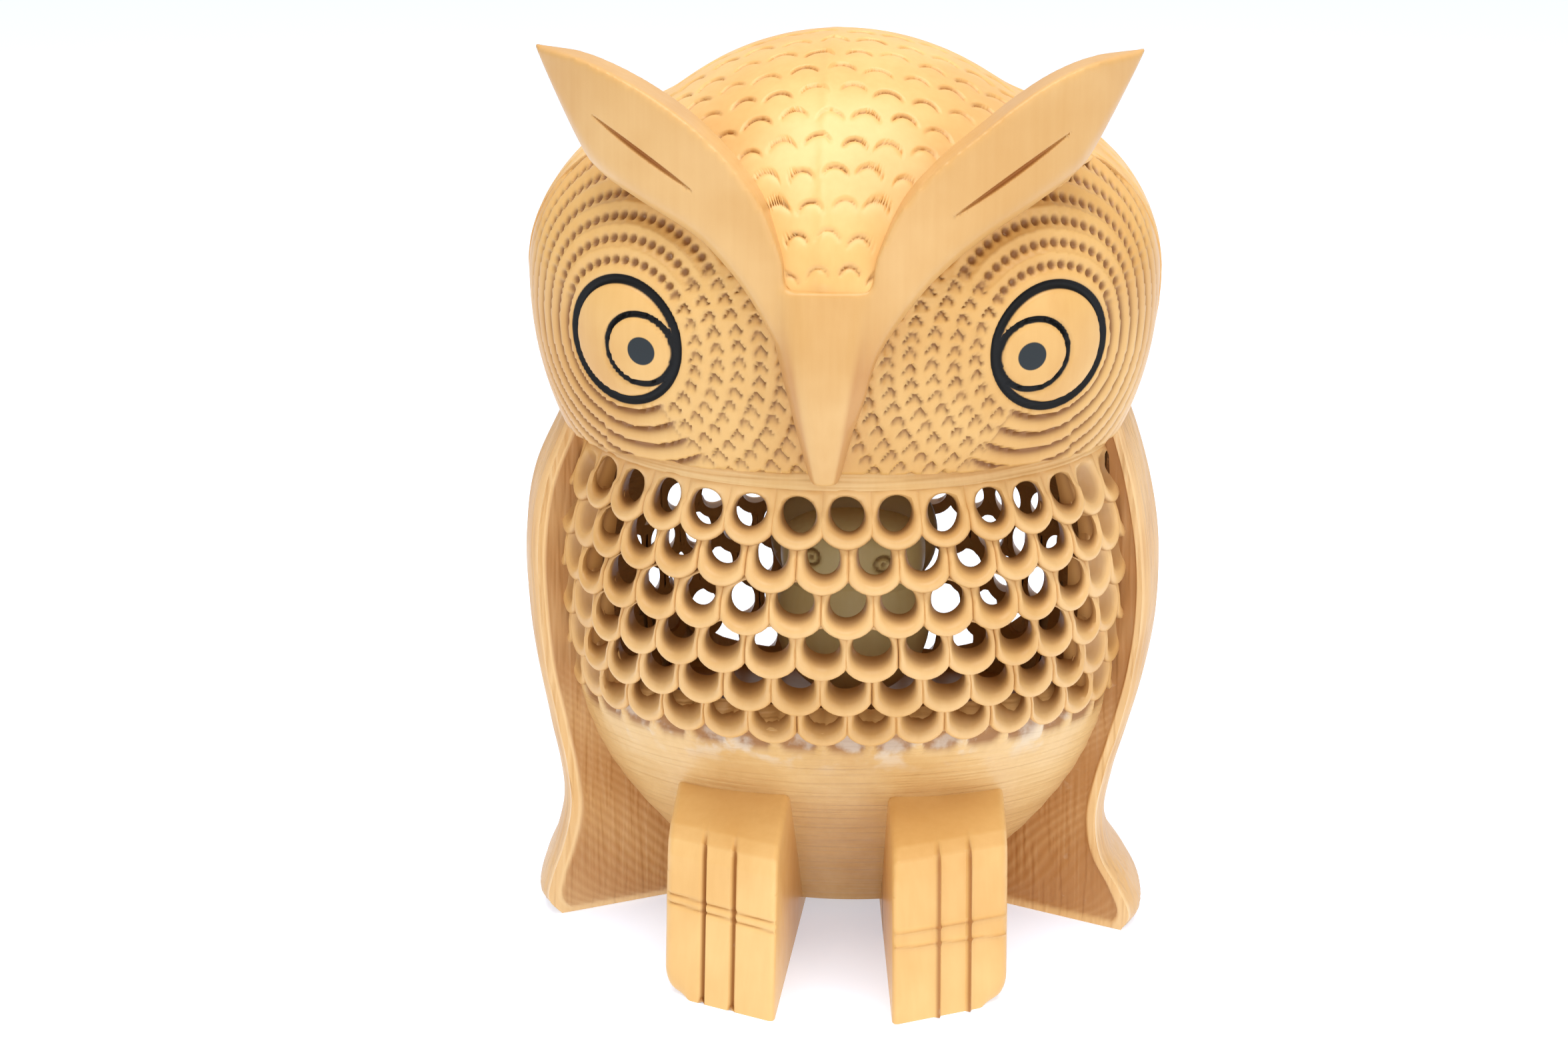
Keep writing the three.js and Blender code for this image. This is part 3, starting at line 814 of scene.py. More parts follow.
def crown_start(turn):
    """The lowest point of the crown in each direction: the V of the brows in front, a ledge behind."""
    beside = step_up(-np.cos(turn), -0.72, -0.5)
    behind = step_up(-np.cos(turn), -0.24, -0.04)
    start = np.radians(8) + np.radians(24) * beside
    start = start + (math.asin((CROWN_BACK_Z - CROWN_Z) / CROWN["up"]) - math.radians(32)) * behind
    for rise in np.linspace(math.radians(84), math.radians(6), 300):
        place = crown_place(turn, np.full(len(turn), rise))
        x = np.abs(place[:, 0] - BEAK_X * unit(1 - np.abs(place[:, 0]) / 20))
        under = 2.5 * step_up(x, CROWN_FOOT_HALF - 2, CROWN_FOOT_HALF + 3)
        limit = from_table(BROW_TOP_EDGE, x) - under
        before = place[:, 1] < from_table(BROW_REAR, x)
        inside = (place[:, 2] < limit) & before & (np.cos(turn) > 0)
        start = np.where(inside, np.maximum(start, rise), start)
    around = 4
    window = np.full(2 * around + 1, 1 / (2 * around + 1))
    return np.convolve(np.pad(start, around, mode="edge"), window, "valid")


def crown_form(u, v):
    w = 2 * u - 1
    turn = np.pi * (w - 0.4 * np.sin(np.pi * w) / np.pi)
    turns, back = np.unique(np.round(turn, 9), return_inverse=True)
    start = crown_start(turns)[back.ravel()]
    share = unit(v / CROWN_EDGE)
    t = unit((v - CROWN_EDGE) / 0.96)
    rise = between(start, np.pi / 2, t)
    place = crown_place(turn, rise)
    middle = np.array([[0, AXIS_Y, CROWN_Z + CROWN_MIDDLE]])
    return place * share[:, None] + middle * (1 - share[:, None])


# %% Crown strokes
def crown_map(place):
    """The dome laid flat round its top: distance across, and distance from front to back."""
    x, y, z = place.T
    reach = np.where(y < AXIS_Y, CROWN["front"], CROWN["back"])
    across = (x - CROWN_SHIFT) / CROWN["wide"]
    ahead = (AXIS_Y - y) / reach
    upright = (z - CROWN_Z) / CROWN["up"]
    plan = np.maximum(np.hypot(across, ahead), 1e-6)
    from_top = CROWN_RADIUS * np.arctan2(plan, upright)
    return from_top * across / plan, CROWN_RADIUS * np.pi / 2 - from_top * ahead / plan


def crown_relief(place, u, v):
    """Each arc is one push of the gouge: steep outside, easy inside, deepest at its middle."""
    x, y, z = place.T
    side, along = crown_map(place)
    behind = step_up(y, -4, 20)
    soft = 1 + 1.2 * behind
    row = np.floor(along / SCALE_LONG)
    height = np.zeros(len(place))
    for step in (0, 1):
        here = row + step
        offset = (here % 2) * 0.5 + 0.13 * np.sin(here * 1.7)
        column = np.round(side / SCALE_WIDE + offset)
        cell = (side / SCALE_WIDE + offset - column) * SCALE_WIDE
        vary = np.sin(here * 3.1 + column * 2.3)
        size = SCALE_ROUND + 0.2 * vary
        top = here * SCALE_LONG + 0.5 * np.sin(here * 2.1 + column * 1.9)
        down = top - size - along
        inward = size - np.hypot(cell + 0.2 * vary, down)
        swing = np.abs(np.arctan2(np.abs(cell), -down))
        fade = unit(1 - (swing / 1.5) ** 3) * (0.85 + 0.2 * np.sin(here * 1.3 + column * 4.7))
        stroke = np.where(inward < 0, hump(inward, 0, 0.2 * soft), np.exp(-inward / (0.42 * soft)))
        height = np.minimum(height, -0.7 * stroke * fade)
    keel = 0.3 * hump(x, -2.4, 1.1) * (1 - behind)
    edge = step_up(v, 0.05, 0.07)
    return (height * (1 - 0.2 * behind) + keel) * edge


finish_piece(carve_sheet(430, 176, crown_form, crown_relief), "crown", "smooth", sharp_degrees=60)

# %% [markdown]
# ## Brows and beak
#
# The two raised brows and the beak are one smooth Y in front of the face. They are lofted apart, joined
# by a fine remesh, and rubbed down a little, as sandpaper would do. The slit in each brow is then
# pressed in, in the shape of a slim lens.

# %% Brow form
BROW_LOW = [
    (0, 95), (3.4, 96.5), (5.3, 101.5), (7.2, 108.5), (10.9, 115), (15.2, 120.5), (21.2, 125.7),
    (29.2, 130.1), (35.2, 133.6), (38.6, 137.4), (46.2, 150.8),
]
EAR_SHIFT = -0.9
BROW_FRONT = {"wide": 52.0, "deep": 49.0}
BROW_LIP = 0.16


def way_along(line):
    """How far each corner of a line lies from its start, measured along it."""
    return np.concatenate([[0], np.cumsum(np.linalg.norm(np.diff(line, axis=0), axis=1))])


def spread_along(points, t):
    """Places along a smooth curve through the points, spaced evenly by t from 0 to 1."""
    p = np.array(points, float)
    p = np.vstack([2 * p[0] - p[1], p, 2 * p[-1] - p[-2]])
    fine = np.linspace(0, len(points) - 1, 600)
    i = np.minimum(fine.astype(int), len(points) - 2)
    f = (fine - i)[:, None]
    a, b, c, d = p[i], p[i + 1], p[i + 2], p[i + 3]
    square, cube = 2 * a - 5 * b + 4 * c - d, 3 * b - a - 3 * c + d
    curve = 0.5 * (2 * b + (c - a) * f + square * f**2 + cube * f**3)
    length = way_along(curve)
    length /= length[-1]
    return np.interp(t, length, curve[:, 0]), np.interp(t, length, curve[:, 1])


def brow_form(side, u, v):
    """u goes round the section: front face, top band, rear, underside; v runs from root to tip."""
    top_x, top_z = spread_along(BROW_TOP, v)
    low_x, low_z = spread_along(BROW_LOW, v)
    sides = [u < 0.4, u < 0.5, u < 0.9]
    share = np.select(sides, [u / 0.4, 1.0, 1 - (u - 0.5) / 0.4], 0.0)
    back = np.select(sides, [0.0, (u - 0.4) / 0.1, 1.0], 1 - (u - 0.9) / 0.1)
    x = between(low_x, top_x, share)
    z = between(low_z, top_z, share)
    wall = AXIS_Y - BROW_FRONT["deep"] * np.sqrt(unit(1 - (x / BROW_FRONT["wide"]) ** 2))
    round_lip = 2.4 * unit(1 - share / BROW_LIP) ** 2 * (1 - v**6)
    rear = np.maximum(from_table(BROW_REAR, x), wall + 2.0)
    y = (wall + round_lip) * (1 - back) + rear * back
    toward_beak = BEAK_X * unit(1 - x / 20) + EAR_SHIFT * step_up(x, 20, 36)
    return np.stack([side * x + toward_beak, y, z], axis=-1)


# %% Beak form
BEAK = {"top": 119.0, "tip": 88.4, "front": -42.4, "middle": -33.0, "back": 14.0}
BEAK_HALVES = (9.4, 2.2)


def beak_half(t):
    """Half the beak's width; t is 0 at its top and 1 at its tip."""
    return between(*BEAK_HALVES, t**1.1)


def beak_form(u, v):
    t = 1 - v
    front = BEAK["front"] - 1.6 * np.sin(np.pi * t) + 3.4 * t**3
    turn = 2 * np.pi * u
    across, deep = np.sin(turn), -np.cos(turn)
    plan = squared(across, deep, 2 + 1.6 * (deep < 0))
    x = BEAK_X + beak_half(t) * across * plan
    y = BEAK["middle"] + np.where(deep < 0, BEAK["middle"] - front, BEAK["back"]) * deep * plan
    z = between(BEAK["top"], BEAK["tip"], t)
    return np.stack([x, y, z], axis=-1)


# %% Join and rub down
VOXEL_MM = 0.45
RUB_STEPS = 5
SLITS = {-1: (-37.1, 142.4, -21.2, 132.8), 1: (33.9, 140.7, 16.6, 129.7)}
SLIT_HALF = 0.44
SLIT_DEPTH = 1.2


def remesh(piece, size_mm):
    """Voxel remesh of a piece that is still in millimetres."""
    modifier = piece.modifiers.new("joined", "REMESH")
    modifier.mode = "VOXEL"
    modifier.voxel_size = size_mm
    modifier.use_smooth_shade = True
    graph = bpy.context.evaluated_depsgraph_get()
    mesh = bpy.data.meshes.new_from_object(piece.evaluated_get(graph))
    bpy.data.objects.remove(piece)
    return mesh


def slit_share(co):
    """How far off a slit's middle line a place is, 1 at the slit's edge, and how far along it."""
    x0, z0, x1, z1 = SLITS[-1 if co.x < 0 else 1]
    length = math.hypot(x1 - x0, z1 - z0)
    wall = AXIS_Y - BROW_FRONT["deep"] * math.sqrt(max(0.0, 1 - (co.x / BROW_FRONT["wide"]) ** 2))
    t = ((co.x - x0) * (x1 - x0) + (co.z - z0) * (z1 - z0)) / length**2
    if not 0 < t < 1 or co.y > wall + 1.5:
        return 9.0, 0.0
    away = abs((co.x - x0) * (z1 - z0) - (co.z - z0) * (x1 - x0)) / length
    return away / (SLIT_HALF * math.sin(math.pi * t) ** 0.7 + 0.04), t


def beak_flank_shade(co):
    """How much a place belongs to the sides of the beak, which are coloured darker as painted shade."""
    t = (BEAK["top"] - co.z) / (BEAK["top"] - BEAK["tip"])
    if not 0 < t < 1 or co.y > -25:
        return 0.0
    share = abs(co.x - BEAK_X) / beak_half(t)
    return min(1.0, max(0.0, (share - 0.5) / 0.2)) * min(1.0, t / 0.4)


def make_brows():
    joined = bmesh.new()
    brows = [carve_sheet(110, 130, partial(brow_form, side), capped=True) for side in (-1, 1)]
    for sheet in brows + [carve_sheet(80, 60, beak_form, capped=True)]:
        bmesh.ops.recalc_face_normals(sheet, faces=sheet.faces)
        add_sheet(joined, sheet)
    bm = bmesh.new()
    bm.from_mesh(remesh(link_object("brows joined", as_mesh(joined, "brows joined")), VOXEL_MM))
    every_way = {"use_axis_x": True, "use_axis_y": True, "use_axis_z": True}
    for _ in range(RUB_STEPS):
        bmesh.ops.smooth_vert(bm, verts=bm.verts, factor=0.5, **every_way)
    near_slit = [edge for edge in bm.edges if slit_share(edge.verts[0].co)[0] < 2.6]
    bmesh.ops.subdivide_edges(bm, edges=near_slit, cuts=2, use_grid_fill=True)
    layer = bm.verts.layers.float.new("cut")
    for vert in bm.verts:
        flank_shade = beak_flank_shade(vert.co)
        share, along = slit_share(vert.co)
        depth = SLIT_DEPTH * max(0.0, 1 - share**2) * math.sin(math.pi * along) ** 0.6
        vert.co.y += depth
        # Painted shade: the depth of each slit and the sides of the beak are kept in cut, so that they are
        # coloured darker.
        vert[layer] = 0.6 * depth + 0.42 * flank_shade
    finish_piece(bm, "brows_and_beak", "brows", sharp_degrees=70)


make_brows()

# %% [markdown]
# ## Wings
#
# Each wing is a broad band down the side: a leaning flat face towards the front, a long rounded outside
# scored with fine lengthwise lines, and a rear edge that sweeps forward as it rises.

# %% Sizes of the wings
CLOAK = [
    # height, half-width on the left, half-width on the right, back depth
    (0, 50.0, 50, 45), (2.5, 52.2, 51.4, 44.8), (7, 51.7, 49.6, 42.8), (12, 49.7, 46.2, 40.4),
    (19, 48.0, 44.6, 38.6), (27, 48.4, 45.6, 39.5), (36, 49.9, 48, 41.5), (46, 51.8, 50.4, 43.5),
    (57, 52.9, 52.0, 44.5), (68, 53.1, 51.8, 45), (79, 51.2, 49.8, 44), (88, 47, 47, 42),
    (96, 43.6, 43.6, 39),
]
WING_FRONT = 44.0
WING_PLAN_POWER = 2.15
WING_FACE = {-1: -4.5, 1: -6.3}
WING_LEAN = -0.06
WING_SLOPE = 0.5
WING_ROOT = 2.0
WING_REAR = [(0, 70), (22, 70), (26, 46), (36, 37), (50, 31), (64, 27), (80, 22), (98, 10)]
WING_BAND = 3.4
WING_TOP_Z = 95.0
FACE_END, OUTSIDE_END, REAR_END = 0.3, 0.8, 0.86  # where the wing's sides end, by the share round it

cloak_side = {-1: smooth_curve(CLOAK, 1), 1: smooth_curve(CLOAK, 2)}
cloak_back = smooth_curve(CLOAK, 3)
print("the wings' widest halves in millimetres:", max(row[1] for row in CLOAK), max(row[2] for row in CLOAK))


# %% Wing form
HALVINGS = 24


def last_inside(test, low, high, count):
    """For each of count columns, the value between low and high up to which the test holds."""
    low, high = np.full(count, low), np.full(count, high)
    for _ in range(HALVINGS):
        middle = (low + high) / 2
        holds = test(middle)
        low = np.where(holds, middle, low)
        high = np.where(holds, high, middle)
    return (low + high) / 2


def wing_face(side, x, z):
    """How far forward the wing's flat face lies at a place."""
    return WING_FACE[side] + WING_LEAN * z + WING_SLOPE * (50 - x)


def wing_form(side, u, v):
    z = WING_TOP_Z * v
    wide = cloak_side[side](z)
    back = cloak_back(z)
    rear = np.minimum(from_table(WING_REAR, z), AXIS_Y + back)
    belly_wide = np.maximum(belly_half_width(z) - WING_ROOT, 4)
    front_deep = np.maximum(belly_front(z) - WING_ROOT, 3)
    back_deep = np.maximum(belly_back(z) - WING_ROOT, 3)

    def outer(angle):
        """A point of the outside; the angle is 0 at the side and 90 degrees straight behind."""
        c, s = np.cos(angle), np.sin(angle)
        reach = np.where(s < 0, WING_FRONT, back)
        k = squared(c, s, WING_PLAN_POWER)
        return wide * c * k, AXIS_Y + reach * s * k

    def before_face(angle):
        x, y = outer(angle)
        return y < wing_face(side, x, z)

    def before_rear(angle):
        return outer(angle)[1] < rear - 1e-3

    def in_belly(x):
        y = wing_face(side, x, z) - AXIS_Y
        return np.hypot(x / belly_wide, y / np.where(y < 0, front_deep, back_deep)) < 1

    start = last_inside(before_face, -1.2, 0.6, len(u))
    end = last_inside(before_rear, 0.0, np.pi / 2, len(u))
    root_x = last_inside(in_belly, 0.0, 50.0, len(u))
    root_y = wing_face(side, root_x, z)
    root_deep = np.where(root_y < AXIS_Y, front_deep, back_deep)
    near = np.arctan2(root_x / belly_wide, (AXIS_Y - root_y) / root_deep)
    far = np.arccos(-np.clip((rear - AXIS_Y) / back_deep, -1, 1))
    corner_x = outer(start)[0]
    end_x, end_y = outer(end)
    face_t = unit(u / FACE_END)
    face_x = between(root_x, corner_x, face_t)
    face_y = wing_face(side, face_x, z)
    out_x, out_y = outer(between(start, end, unit((u - FACE_END) / 0.5)))
    root_angle = between(far, near, unit((u - REAR_END) / 0.14))
    along_root = -np.cos(root_angle)
    inner_x = belly_wide * np.sin(root_angle)
    inner_y = AXIS_Y + np.where(along_root < 0, front_deep, back_deep) * along_root
    rear_t = unit((u - OUTSIDE_END) / 0.06)
    first_x = belly_wide * np.sin(far)
    first_y = AXIS_Y - back_deep * np.cos(far)
    rear_x = between(end_x, first_x, rear_t)
    rear_y = between(end_y, first_y, rear_t)
    parts = [u < FACE_END, u < OUTSIDE_END, u < REAR_END]
    x = np.select(parts, [face_x, out_x, rear_x], inner_x)
    y = np.select(parts, [face_y, out_y, rear_y], inner_y)
    near_corner = hump(u, FACE_END, 0.018)
    x = x - 0.9 * near_corner
    y = y + 0.5 * near_corner
    return np.stack([side * x, y, z], axis=-1)


# %% Wing strokes
def face_width(side, z):
    """How wide the front face of a wing is, from its outer corner to the belly."""
    return 1.12 * (cloak_side[side](z) - belly_half_width(z) * 0.93) + 3


def wing_relief(side, place, u, v):
    z = place[:, 2]
    on_face = (1 - u / FACE_END) * face_width(side, z)
    across = np.where(u < FACE_END, on_face, -(u - FACE_END) / 0.5 * 60)
    outside = (u > 0.31) & (u < 0.79)
    lines = 0.05 * np.sin(across * 4.4 + 0.9 * np.sin(z * 0.11)) * outside
    hatch = 0.05 * np.sin((across * 0.8 + z * 1.1) * 3.0) * (u > 0.03) * (across > 4) * (z < 46)
    inset = -0.55 * step_up(across, WING_BAND - 0.5, WING_BAND + 0.3) * (u < FACE_END)
    slow = 0.06 * np.sin(z * 0.35 + across * 0.21)
    return (lines + hatch + inset + slow) * step_up(v, 0.0, 0.02)


def make_wing(side, name):
    bm = carve_sheet(260, 126, partial(wing_form, side), partial(wing_relief, side), capped=True)
    layer = bm.verts.layers.float["cut"]
    for vert in bm.verts:
        x, y, z = vert.co
        # Painted shade: the wing's rounded outside and rear, behind its flat face, are coloured darker and
        # redder.
        vert[layer] += 0.36 * float(step_up(y - wing_face(side, abs(x), z), 0.0, 1.5))
    finish_piece(bm, name, "wing")


make_wing(-1, "wing_left")
make_wing(1, "wing_right")

# %% [markdown]
# ## Tail
#
# Behind, the two wings close over a short tail that leans back to the ground and steadies the owl.

# %% Tail
TAIL_HALF = 14.0
TAIL_SIDE = [(10, 32), (36, 32), (44.7, 24), (52.7, 10), (54.3, 0), (10, 0)]
TAIL_ROUND = 2.2
TAIL_MIDDLE = (34, 14)


def along_loop(points, share):
    """Places on a closed outline of straight sides, by the share of the way round."""
    loop = np.array(points + points[:1], float)
    length = way_along(loop)
    way = share * length[-1]
    return np.interp(way, length, loop[:, 0]), np.interp(way, length, loop[:, 1])


def tail_form(u, v):
    y, z = along_loop(TAIL_SIDE, u)
    x = -TAIL_HALF + 2 * TAIL_HALF * v
    near_end = unit((np.abs(x) - (TAIL_HALF - TAIL_ROUND)) / TAIL_ROUND)
    pull = TAIL_ROUND * (1 - np.sqrt(1 - near_end**2 * 0.98))
    off_y, off_z = y - TAIL_MIDDLE[0], z - TAIL_MIDDLE[1]
    size = np.hypot(off_y, off_z)
    y = y - pull * off_y / size
    z = np.maximum(z - pull * off_z / size, 0)
    return np.stack([x, y, z], axis=-1)


def tail_relief(place, u, v):
    x, y, z = place.T
    grooves = hump(np.abs(x), 4.7, 0.5)
    behind = step_up(y, 40, 44)
    lines = 0.08 * np.sin(x * 4.4 + z * 0.3)
    return -0.7 * grooves * behind * step_up(z, 0.5, 2) + lines * behind


finish_piece(carve_sheet(150, 90, tail_form, tail_relief, capped=True), "tail", "wing")

# %% [markdown]
# ## Feet
#
# Two blocks with a flat front, a slanted top and three toes parted by V grooves. Two scored lines run
# across the flat front, at about half its height.

# %% Foot form
FOOT_TOE = -41
FOOT_HEEL = 8
FOOT_SIDE = [
    (FOOT_TOE, 0), (-36.4, 23.0), (-35.3, 25.4), (-32.8, 26.9), (-27.5, 28.2), (-20, 30.0), (-12, 30.8),
    (FOOT_HEEL, 30.8), (FOOT_HEEL, 0),
]
FOOT_INNER = (9.4, 6.2)
FOOT_OUTER = (27.6, 25.5)
FOOT_SKEW = 8.6
FOOT_EDGE = 1.1
TOE_GROOVES = [0.39, 0.66]
TOE_GROOVE = {"half": 0.52, "depth": 0.95}
SCORED_LINES = {-1: [(15.6, 16.5), (14.1, 15.1)], 1: [(14.5, 14.2), (12.2, 11.2)]}


def foot_form(side, u, v):
    y, z = along_loop(FOOT_SIDE, u)
    near = np.minimum(v, 1 - v) * 18
    pull = FOOT_EDGE * (1 - np.sqrt(unit(1 - unit(1 - near / FOOT_EDGE) ** 2)))
    low = unit(1 - z / 4.5)
    outer_low = 4.5 * (1 - np.sqrt(1 - 0.999 * low**2))
    outer_low = outer_low * step_up(v, 0.75, 1.0) * (y < -20)
    y = y + pull * np.where(y < -8, 1, -1) + 0.4 * outer_low
    z = np.clip(z - pull * (z > 20), 0, None)
    heel = (y - FOOT_TOE) / (FOOT_HEEL - FOOT_TOE)
    skewed = np.minimum(1, (FOOT_HEEL - y) / 30)
    inner = between(*FOOT_INNER, heel)
    outer = between(*FOOT_OUTER, heel)
    x = between(inner, outer, v) - 0.55 * outer_low
    return np.stack([side * x, y + FOOT_SKEW * v * skewed, z], axis=-1)


# %% Toes and scored lines
def foot_relief(side, place, u, v):
    x, y, z = place.T
    height = np.zeros(len(place))
    front = 1 - step_up(z, 24, 28)
    for share in TOE_GROOVES:
        across = np.abs(v - share) * 18.2
        v_cut = unit(1 - across / TOE_GROOVE["half"])
        height -= TOE_GROOVE["depth"] * v_cut * front * (y < -15)
    for inner_z, outer_z in SCORED_LINES[side]:
        off = z - inner_z - (outer_z - inner_z) * v
        height -= 0.4 * hump(off, 0, 0.26) * (y < -20) * (v > 0.02) * (v < 0.98)
    return height


def make_foot(side, name):
    bm = carve_sheet(420, 76, partial(foot_form, side), partial(foot_relief, side), capped=True)
    finish_piece(bm, name, "smooth")


make_foot(-1, "foot_left")
make_foot(1, "foot_right")

# %% [markdown]
# ## The wood
#
# A pale, close-grained wood under a thin satin varnish. It is honey-yellow where it is smooth. Shade is
# painted into it: redder and darker in the cuts, and brown inside the hollow.

# %% Short ways to add nodes
class Bench:
    """Short ways to add nodes to one node tree and to join them."""

    def __init__(self, tree):
        self.tree = tree

    def add(self, kind, label="", **settings):
        node = self.tree.nodes.new(kind)
        node.label = label
        for key, value in settings.items():
            setattr(node, key, value)
        return node

    def feed(self, socket, value):
        """Gives a socket a plain value or another node's output."""
        if isinstance(value, (int, float, tuple)):
            socket.default_value = value
        elif value is not None:
            self.tree.links.new(value, socket)

    def maths(self, operation, first, second=None, clamp=False):
        node = self.add("ShaderNodeMath", operation=operation, use_clamp=clamp)
        self.feed(node.inputs[0], first)
        self.feed(node.inputs[1], second)
        return node.outputs[0]

    def plus(self, first, second):
        return self.maths("ADD", first, second)

    def minus(self, first, second):
        return self.maths("SUBTRACT", first, second)

    def times(self, first, second):
        return self.maths("MULTIPLY", first, second)

    def mix(self, factor, low, high):
        node = self.add("ShaderNodeMix", data_type="RGBA", blend_type="MIX")
        for index, value in ((0, factor), (6, low), (7, high)):
            self.feed(node.inputs[index], value)
        return node.outputs[2]

    def ramp(self, value, low, high):
        """0 below low, 1 above high, and an S-curve between."""
        node = self.add("ShaderNodeMapRange", interpolation_type="SMOOTHSTEP")
        self.feed(node.inputs["Value"], value)
        self.feed(node.inputs["From Min"], low)
        self.feed(node.inputs["From Max"], high)
        return node.outputs[0]

    def place(self):
        return self.add("ShaderNodeTexCoord").outputs["Object"]

    def stretched(self, label, scale):
        """The place on the piece with each axis scaled."""
        node = self.add("ShaderNodeMapping", label)
        self.feed(node.inputs["Vector"], self.place())
        self.feed(node.inputs["Scale"], scale)
        return node.outputs[0]

    def noise(self, label, scale, detail, where=None):
        node = self.add("ShaderNodeTexNoise", label)
        self.feed(node.inputs["Vector"], where or self.place())
        self.feed(node.inputs["Scale"], scale)
        self.feed(node.inputs["Detail"], detail)
        return node.outputs[0]

    def split_place(self):
        parts = self.add("ShaderNodeSeparateXYZ")
        self.feed(parts.inputs[0], self.place())
        return parts.outputs

    def on_vertices(self, name):
        """A measure kept on the vertices."""
        return self.add("ShaderNodeAttribute", name, attribute_name=name).outputs["Fac"]


# %% Wood group
def wood_group():
    """Puts out the colour, roughness and height of the wood at a point; the inputs shift its tone."""
    tree = bpy.data.node_groups.new("honey wood", "ShaderNodeTree")
    for name, kind, value in (
        ("Light", "Color", light_value("EDC27A")),
        ("Dark", "Color", light_value("D9A35A")),
        ("Cut Shade", "Color", light_value("8A4F22")),
        ("Stroke Scale", "Vector", (60, 60, 900)),
        ("Stroke Height", "Float", 0.0),
    ):
        socket = tree.interface.new_socket(name, in_out="INPUT", socket_type="NodeSocket" + kind)
        socket.default_value = value
    for name, kind in (("Color", "Color"), ("Roughness", "Float"), ("Height", "Float")):
        tree.interface.new_socket(name, in_out="OUTPUT", socket_type="NodeSocket" + kind)
    b = Bench(tree)
    given = b.add("NodeGroupInput").outputs

    grain = b.noise("fine grain", 1.0, 4, b.stretched("grain runs upwards", (900, 900, 45)))
    mottle = b.noise("mottling", 260, 5)
    broad = b.times(b.ramp(b.noise("broad tone", 38, 3), 0.35, 0.65), 0.55)
    tone = b.plus(broad, b.times(grain, 0.35))
    tone = b.maths("ADD", tone, b.times(mottle, 0.25), clamp=True)
    colour = b.mix(tone, given["Light"], given["Dark"])

    # Painted shade: the wood is coloured darker and redder by the depth of cut kept on the vertices, and by
    # the other shade marks kept with it.
    cut = b.on_vertices("cut")
    depth = b.ramp(cut, 0.05, 0.75)
    colour = b.mix(b.times(depth, 0.8), colour, given["Cut Shade"])
    dust = b.ramp(b.noise("polishing dust", 420, 3), 0.6, 0.72)
    dusty = b.times(dust, b.times(b.ramp(cut, 0.6, 1.0), 0.3))
    colour = b.mix(dusty, colour, light_value("E9DDC6"))

    comb = b.noise("tool strokes", 1.0, 1, b.stretched("tool strokes", given["Stroke Scale"]))
    stroke = b.times(b.ramp(comb, 0.35, 0.65), given["Stroke Height"])
    height = b.plus(b.plus(b.times(grain, 0.00003), b.times(mottle, 0.00005)), stroke)
    rough = b.plus(b.plus(0.34, b.times(mottle, 0.16)), b.times(depth, 0.2))
    outputs = b.add("NodeGroupOutput").inputs
    for name, value in (("Color", colour), ("Roughness", rough), ("Height", height)):
        b.feed(outputs[name], value)
    return tree


honey = wood_group()
print("nodes in the wood group:", len(honey.nodes))

# %% Materials
VARNISH = 0.18
PAINT_ROUGHNESS = 0.62
HOLLOW_SHADE_SHARE = 0.85


def wood_material(name, light, dark, cut, paint=None, hollow=False, strokes=None):
    material, look = new_material(name)
    b = Bench(material.node_tree)
    wood = b.add("ShaderNodeGroup", node_tree=honey)
    for key, code in (("Light", light), ("Dark", dark), ("Cut Shade", cut)):
        b.feed(wood.inputs[key], light_value(code))
    if strokes:
        b.feed(wood.inputs["Stroke Scale"], strokes[:3])
        b.feed(wood.inputs["Stroke Height"], strokes[3])
    colour = wood.outputs["Color"]
    rough = wood.outputs["Roughness"]
    coat = VARNISH
    if hollow:
        # Painted shade: the hollow inside the belly is coloured brown.
        colour = b.mix(b.times(b.on_vertices("hollow"), HOLLOW_SHADE_SHARE), colour, light_value("BC8748"))
    if paint:
        colour, painted = paint(b, colour)
        rough = b.maths("MAXIMUM", rough, b.times(painted, PAINT_ROUGHNESS))
        coat = b.times(b.minus(1, painted), VARNISH)
    bump = b.add("ShaderNodeBump")
    b.feed(bump.inputs["Strength"], 0.5)
    b.feed(bump.inputs["Distance"], 1.0)
    b.feed(bump.inputs["Height"], wood.outputs["Height"])
    for key, value in (
        ("Base Color", colour), ("Roughness", rough), ("Specular IOR Level", 0.3), ("Coat Weight", coat),
        ("Coat Roughness", 0.22), ("Normal", bump.outputs[0]),
    ):
        b.feed(look[key], value)
    return material


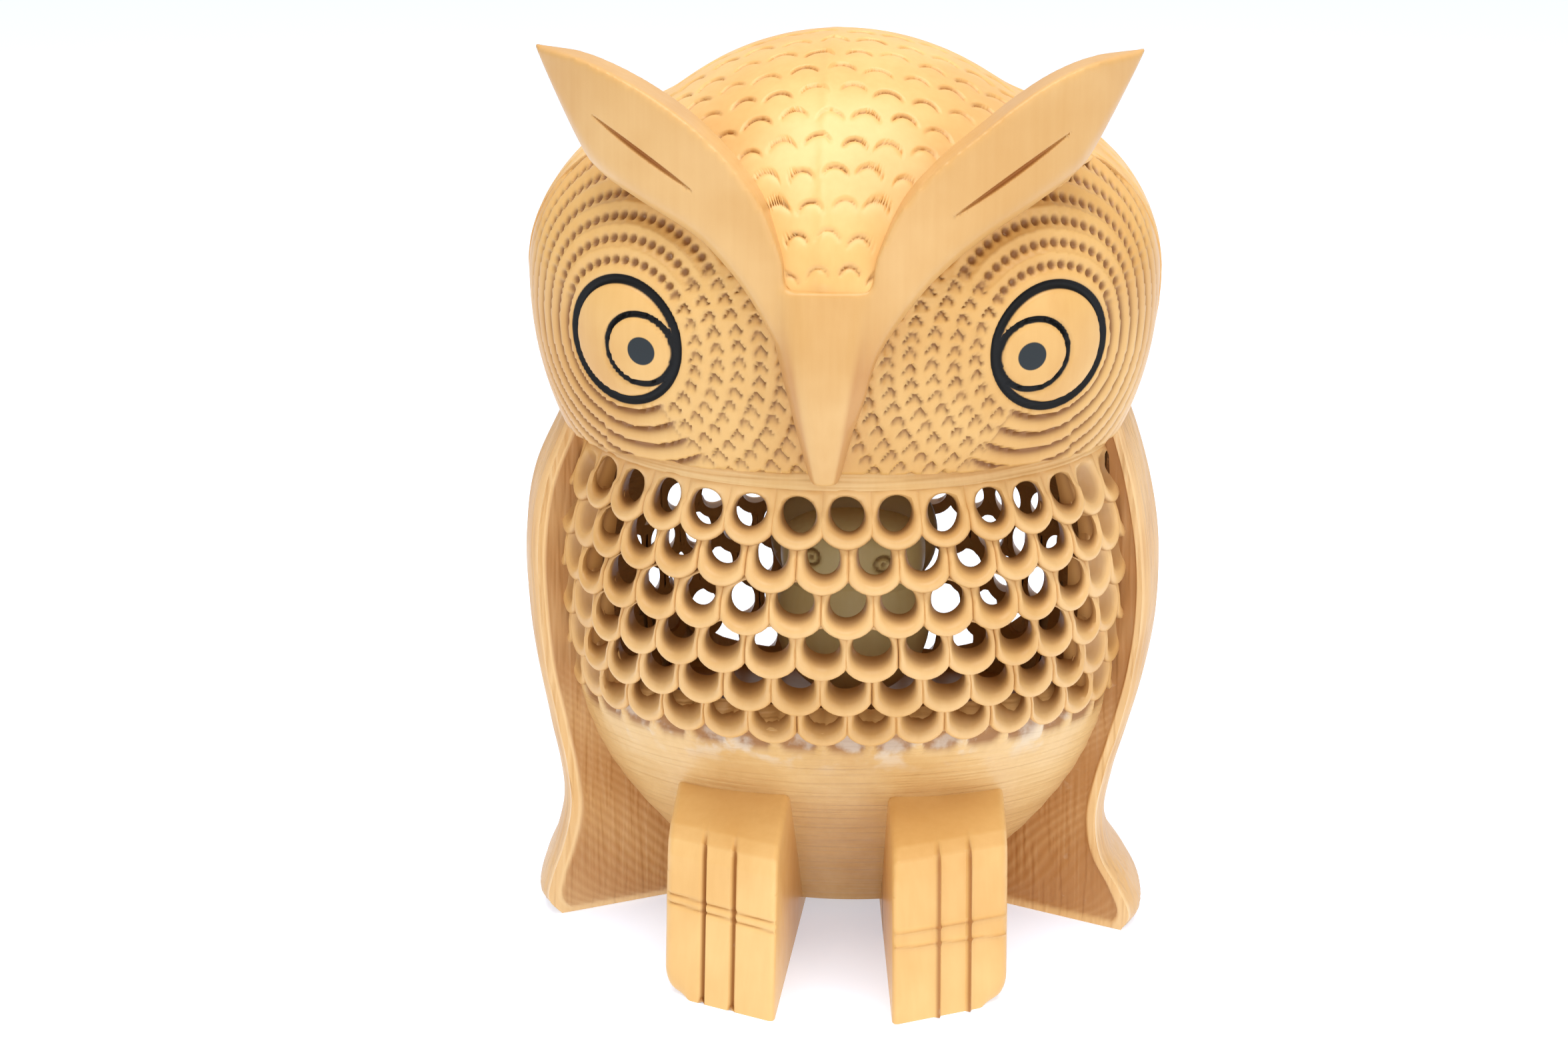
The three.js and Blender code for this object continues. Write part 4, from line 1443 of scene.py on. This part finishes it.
# %% Paint and dust
def eye_paint(b, colour):
    """Black rings and grey pupils, drawn by the same measure that cut the grooves."""
    x, y, z = b.split_place()
    aside = b.minus(b.maths("ABSOLUTE", b.minus(x, FACE_SHIFT * MM)), EYE_X * MM)
    behind = b.minus(y, (EYE_Y + DEPTH_SHIFT) * MM)
    across = b.plus(b.times(aside, math.cos(EYE_YAW)), b.times(behind, math.sin(EYE_YAW)))
    up = b.minus(z, EYE_Z * MM)
    front = b.maths("LESS_THAN", y, (AXIS_Y + DEPTH_SHIFT - 8) * MM)

    def distance(inward, down):
        off_x = b.plus(across, inward * MM)
        off_z = b.plus(up, down * MM)
        return b.maths("SQRT", b.plus(b.times(off_x, off_x), b.times(off_z, off_z)))

    def within(measure, radius, soft):
        """1 nearer than the radius and 0 farther off, with a soft edge."""
        return b.minus(1, b.ramp(measure, (radius - soft) * MM, (radius + soft) * MM))

    def ring_mask(measure, radius, half):
        return within(b.maths("ABSOLUTE", b.minus(measure, radius * MM)), half, 0.08)

    from_eye = distance(0, 0)
    iris = ring_mask(distance(IRIS["in"], IRIS["down"]), IRIS["radius"], 0.5)
    iris = b.times(iris, b.maths("LESS_THAN", from_eye, RING * MM))
    black = b.times(b.maths("MAXIMUM", ring_mask(from_eye, RING, 0.72), iris), front)
    grey = b.times(within(distance(PUPIL["in"], PUPIL["down"]), PUPIL["radius"], 0.1), front)
    colour = b.mix(black, colour, light_value("090807"))
    return b.mix(grey, colour, light_value("24292B")), b.maths("MAXIMUM", black, grey)


def dusty_belly(b, colour):
    """Pale sanding dust left in the rough wood under the last row of the net."""
    x, y, z = b.split_place()
    band = b.times(b.ramp(z, 0.035, 0.041), b.minus(1, b.ramp(z, 0.0445, 0.0455)))
    front = b.maths("LESS_THAN", y, -0.018)
    dust = b.times(b.ramp(b.noise("dust patches", 240, 4), 0.48, 0.66), b.times(band, front))
    dust = b.times(dust, 0.5)
    return b.mix(dust, colour, light_value("DCD2C0")), dust


# %% One material for each finish, and lighter or darker copies of the wood for painted light and shade
materials = {
    "smooth": wood_material("honey wood", "EAC07C", "D7A45E", "96581F"),
    "head": wood_material("honey wood with painted eyes", "DCB06C", "C9954F", "74401A", paint=eye_paint),
    # Painted shade: the brows get a darker copy of the honey wood.
    "brows": wood_material("honey wood, painted shade on the brows", "D8AE72", "C69554", "A8642A"),
    "belly": wood_material("honey wood, painted shade inside", "E2B97E", "CB9A58", "7A431B", hollow=True),
    "skin": wood_material(
        "scraped wood of the belly", "E3BF85", "C99C5E", "8A5426", paint=dusty_belly, hollow=True,
        strokes=(50, 50, 1100, 0.00022),
    ),
    # Painted light: the wings and the tail get a lighter copy of the honey wood.
    "wing": wood_material("honey wood, painted light on wings and tail", "ECC994", "E2B87C", "A66A30", strokes=(750, 750, 40, 0.0003)),
    # Painted light: the owlet inside the belly gets a much lighter copy of the wood.
    "inside": wood_material("honey wood, painted light on the owlet", "FBE6A4", "EDCA80", "946832"),
}
print("finishes:", ", ".join(materials))

# %% Join the pieces to the frame
for piece, look in pieces:
    piece.data.materials.append(materials[look])
    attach(piece, "root")
    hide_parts("owl")
print("triangles in all:", sum(count_triangles(piece.data) for piece, look in pieces))

# %% Finish
bpy.context.view_layer.update()
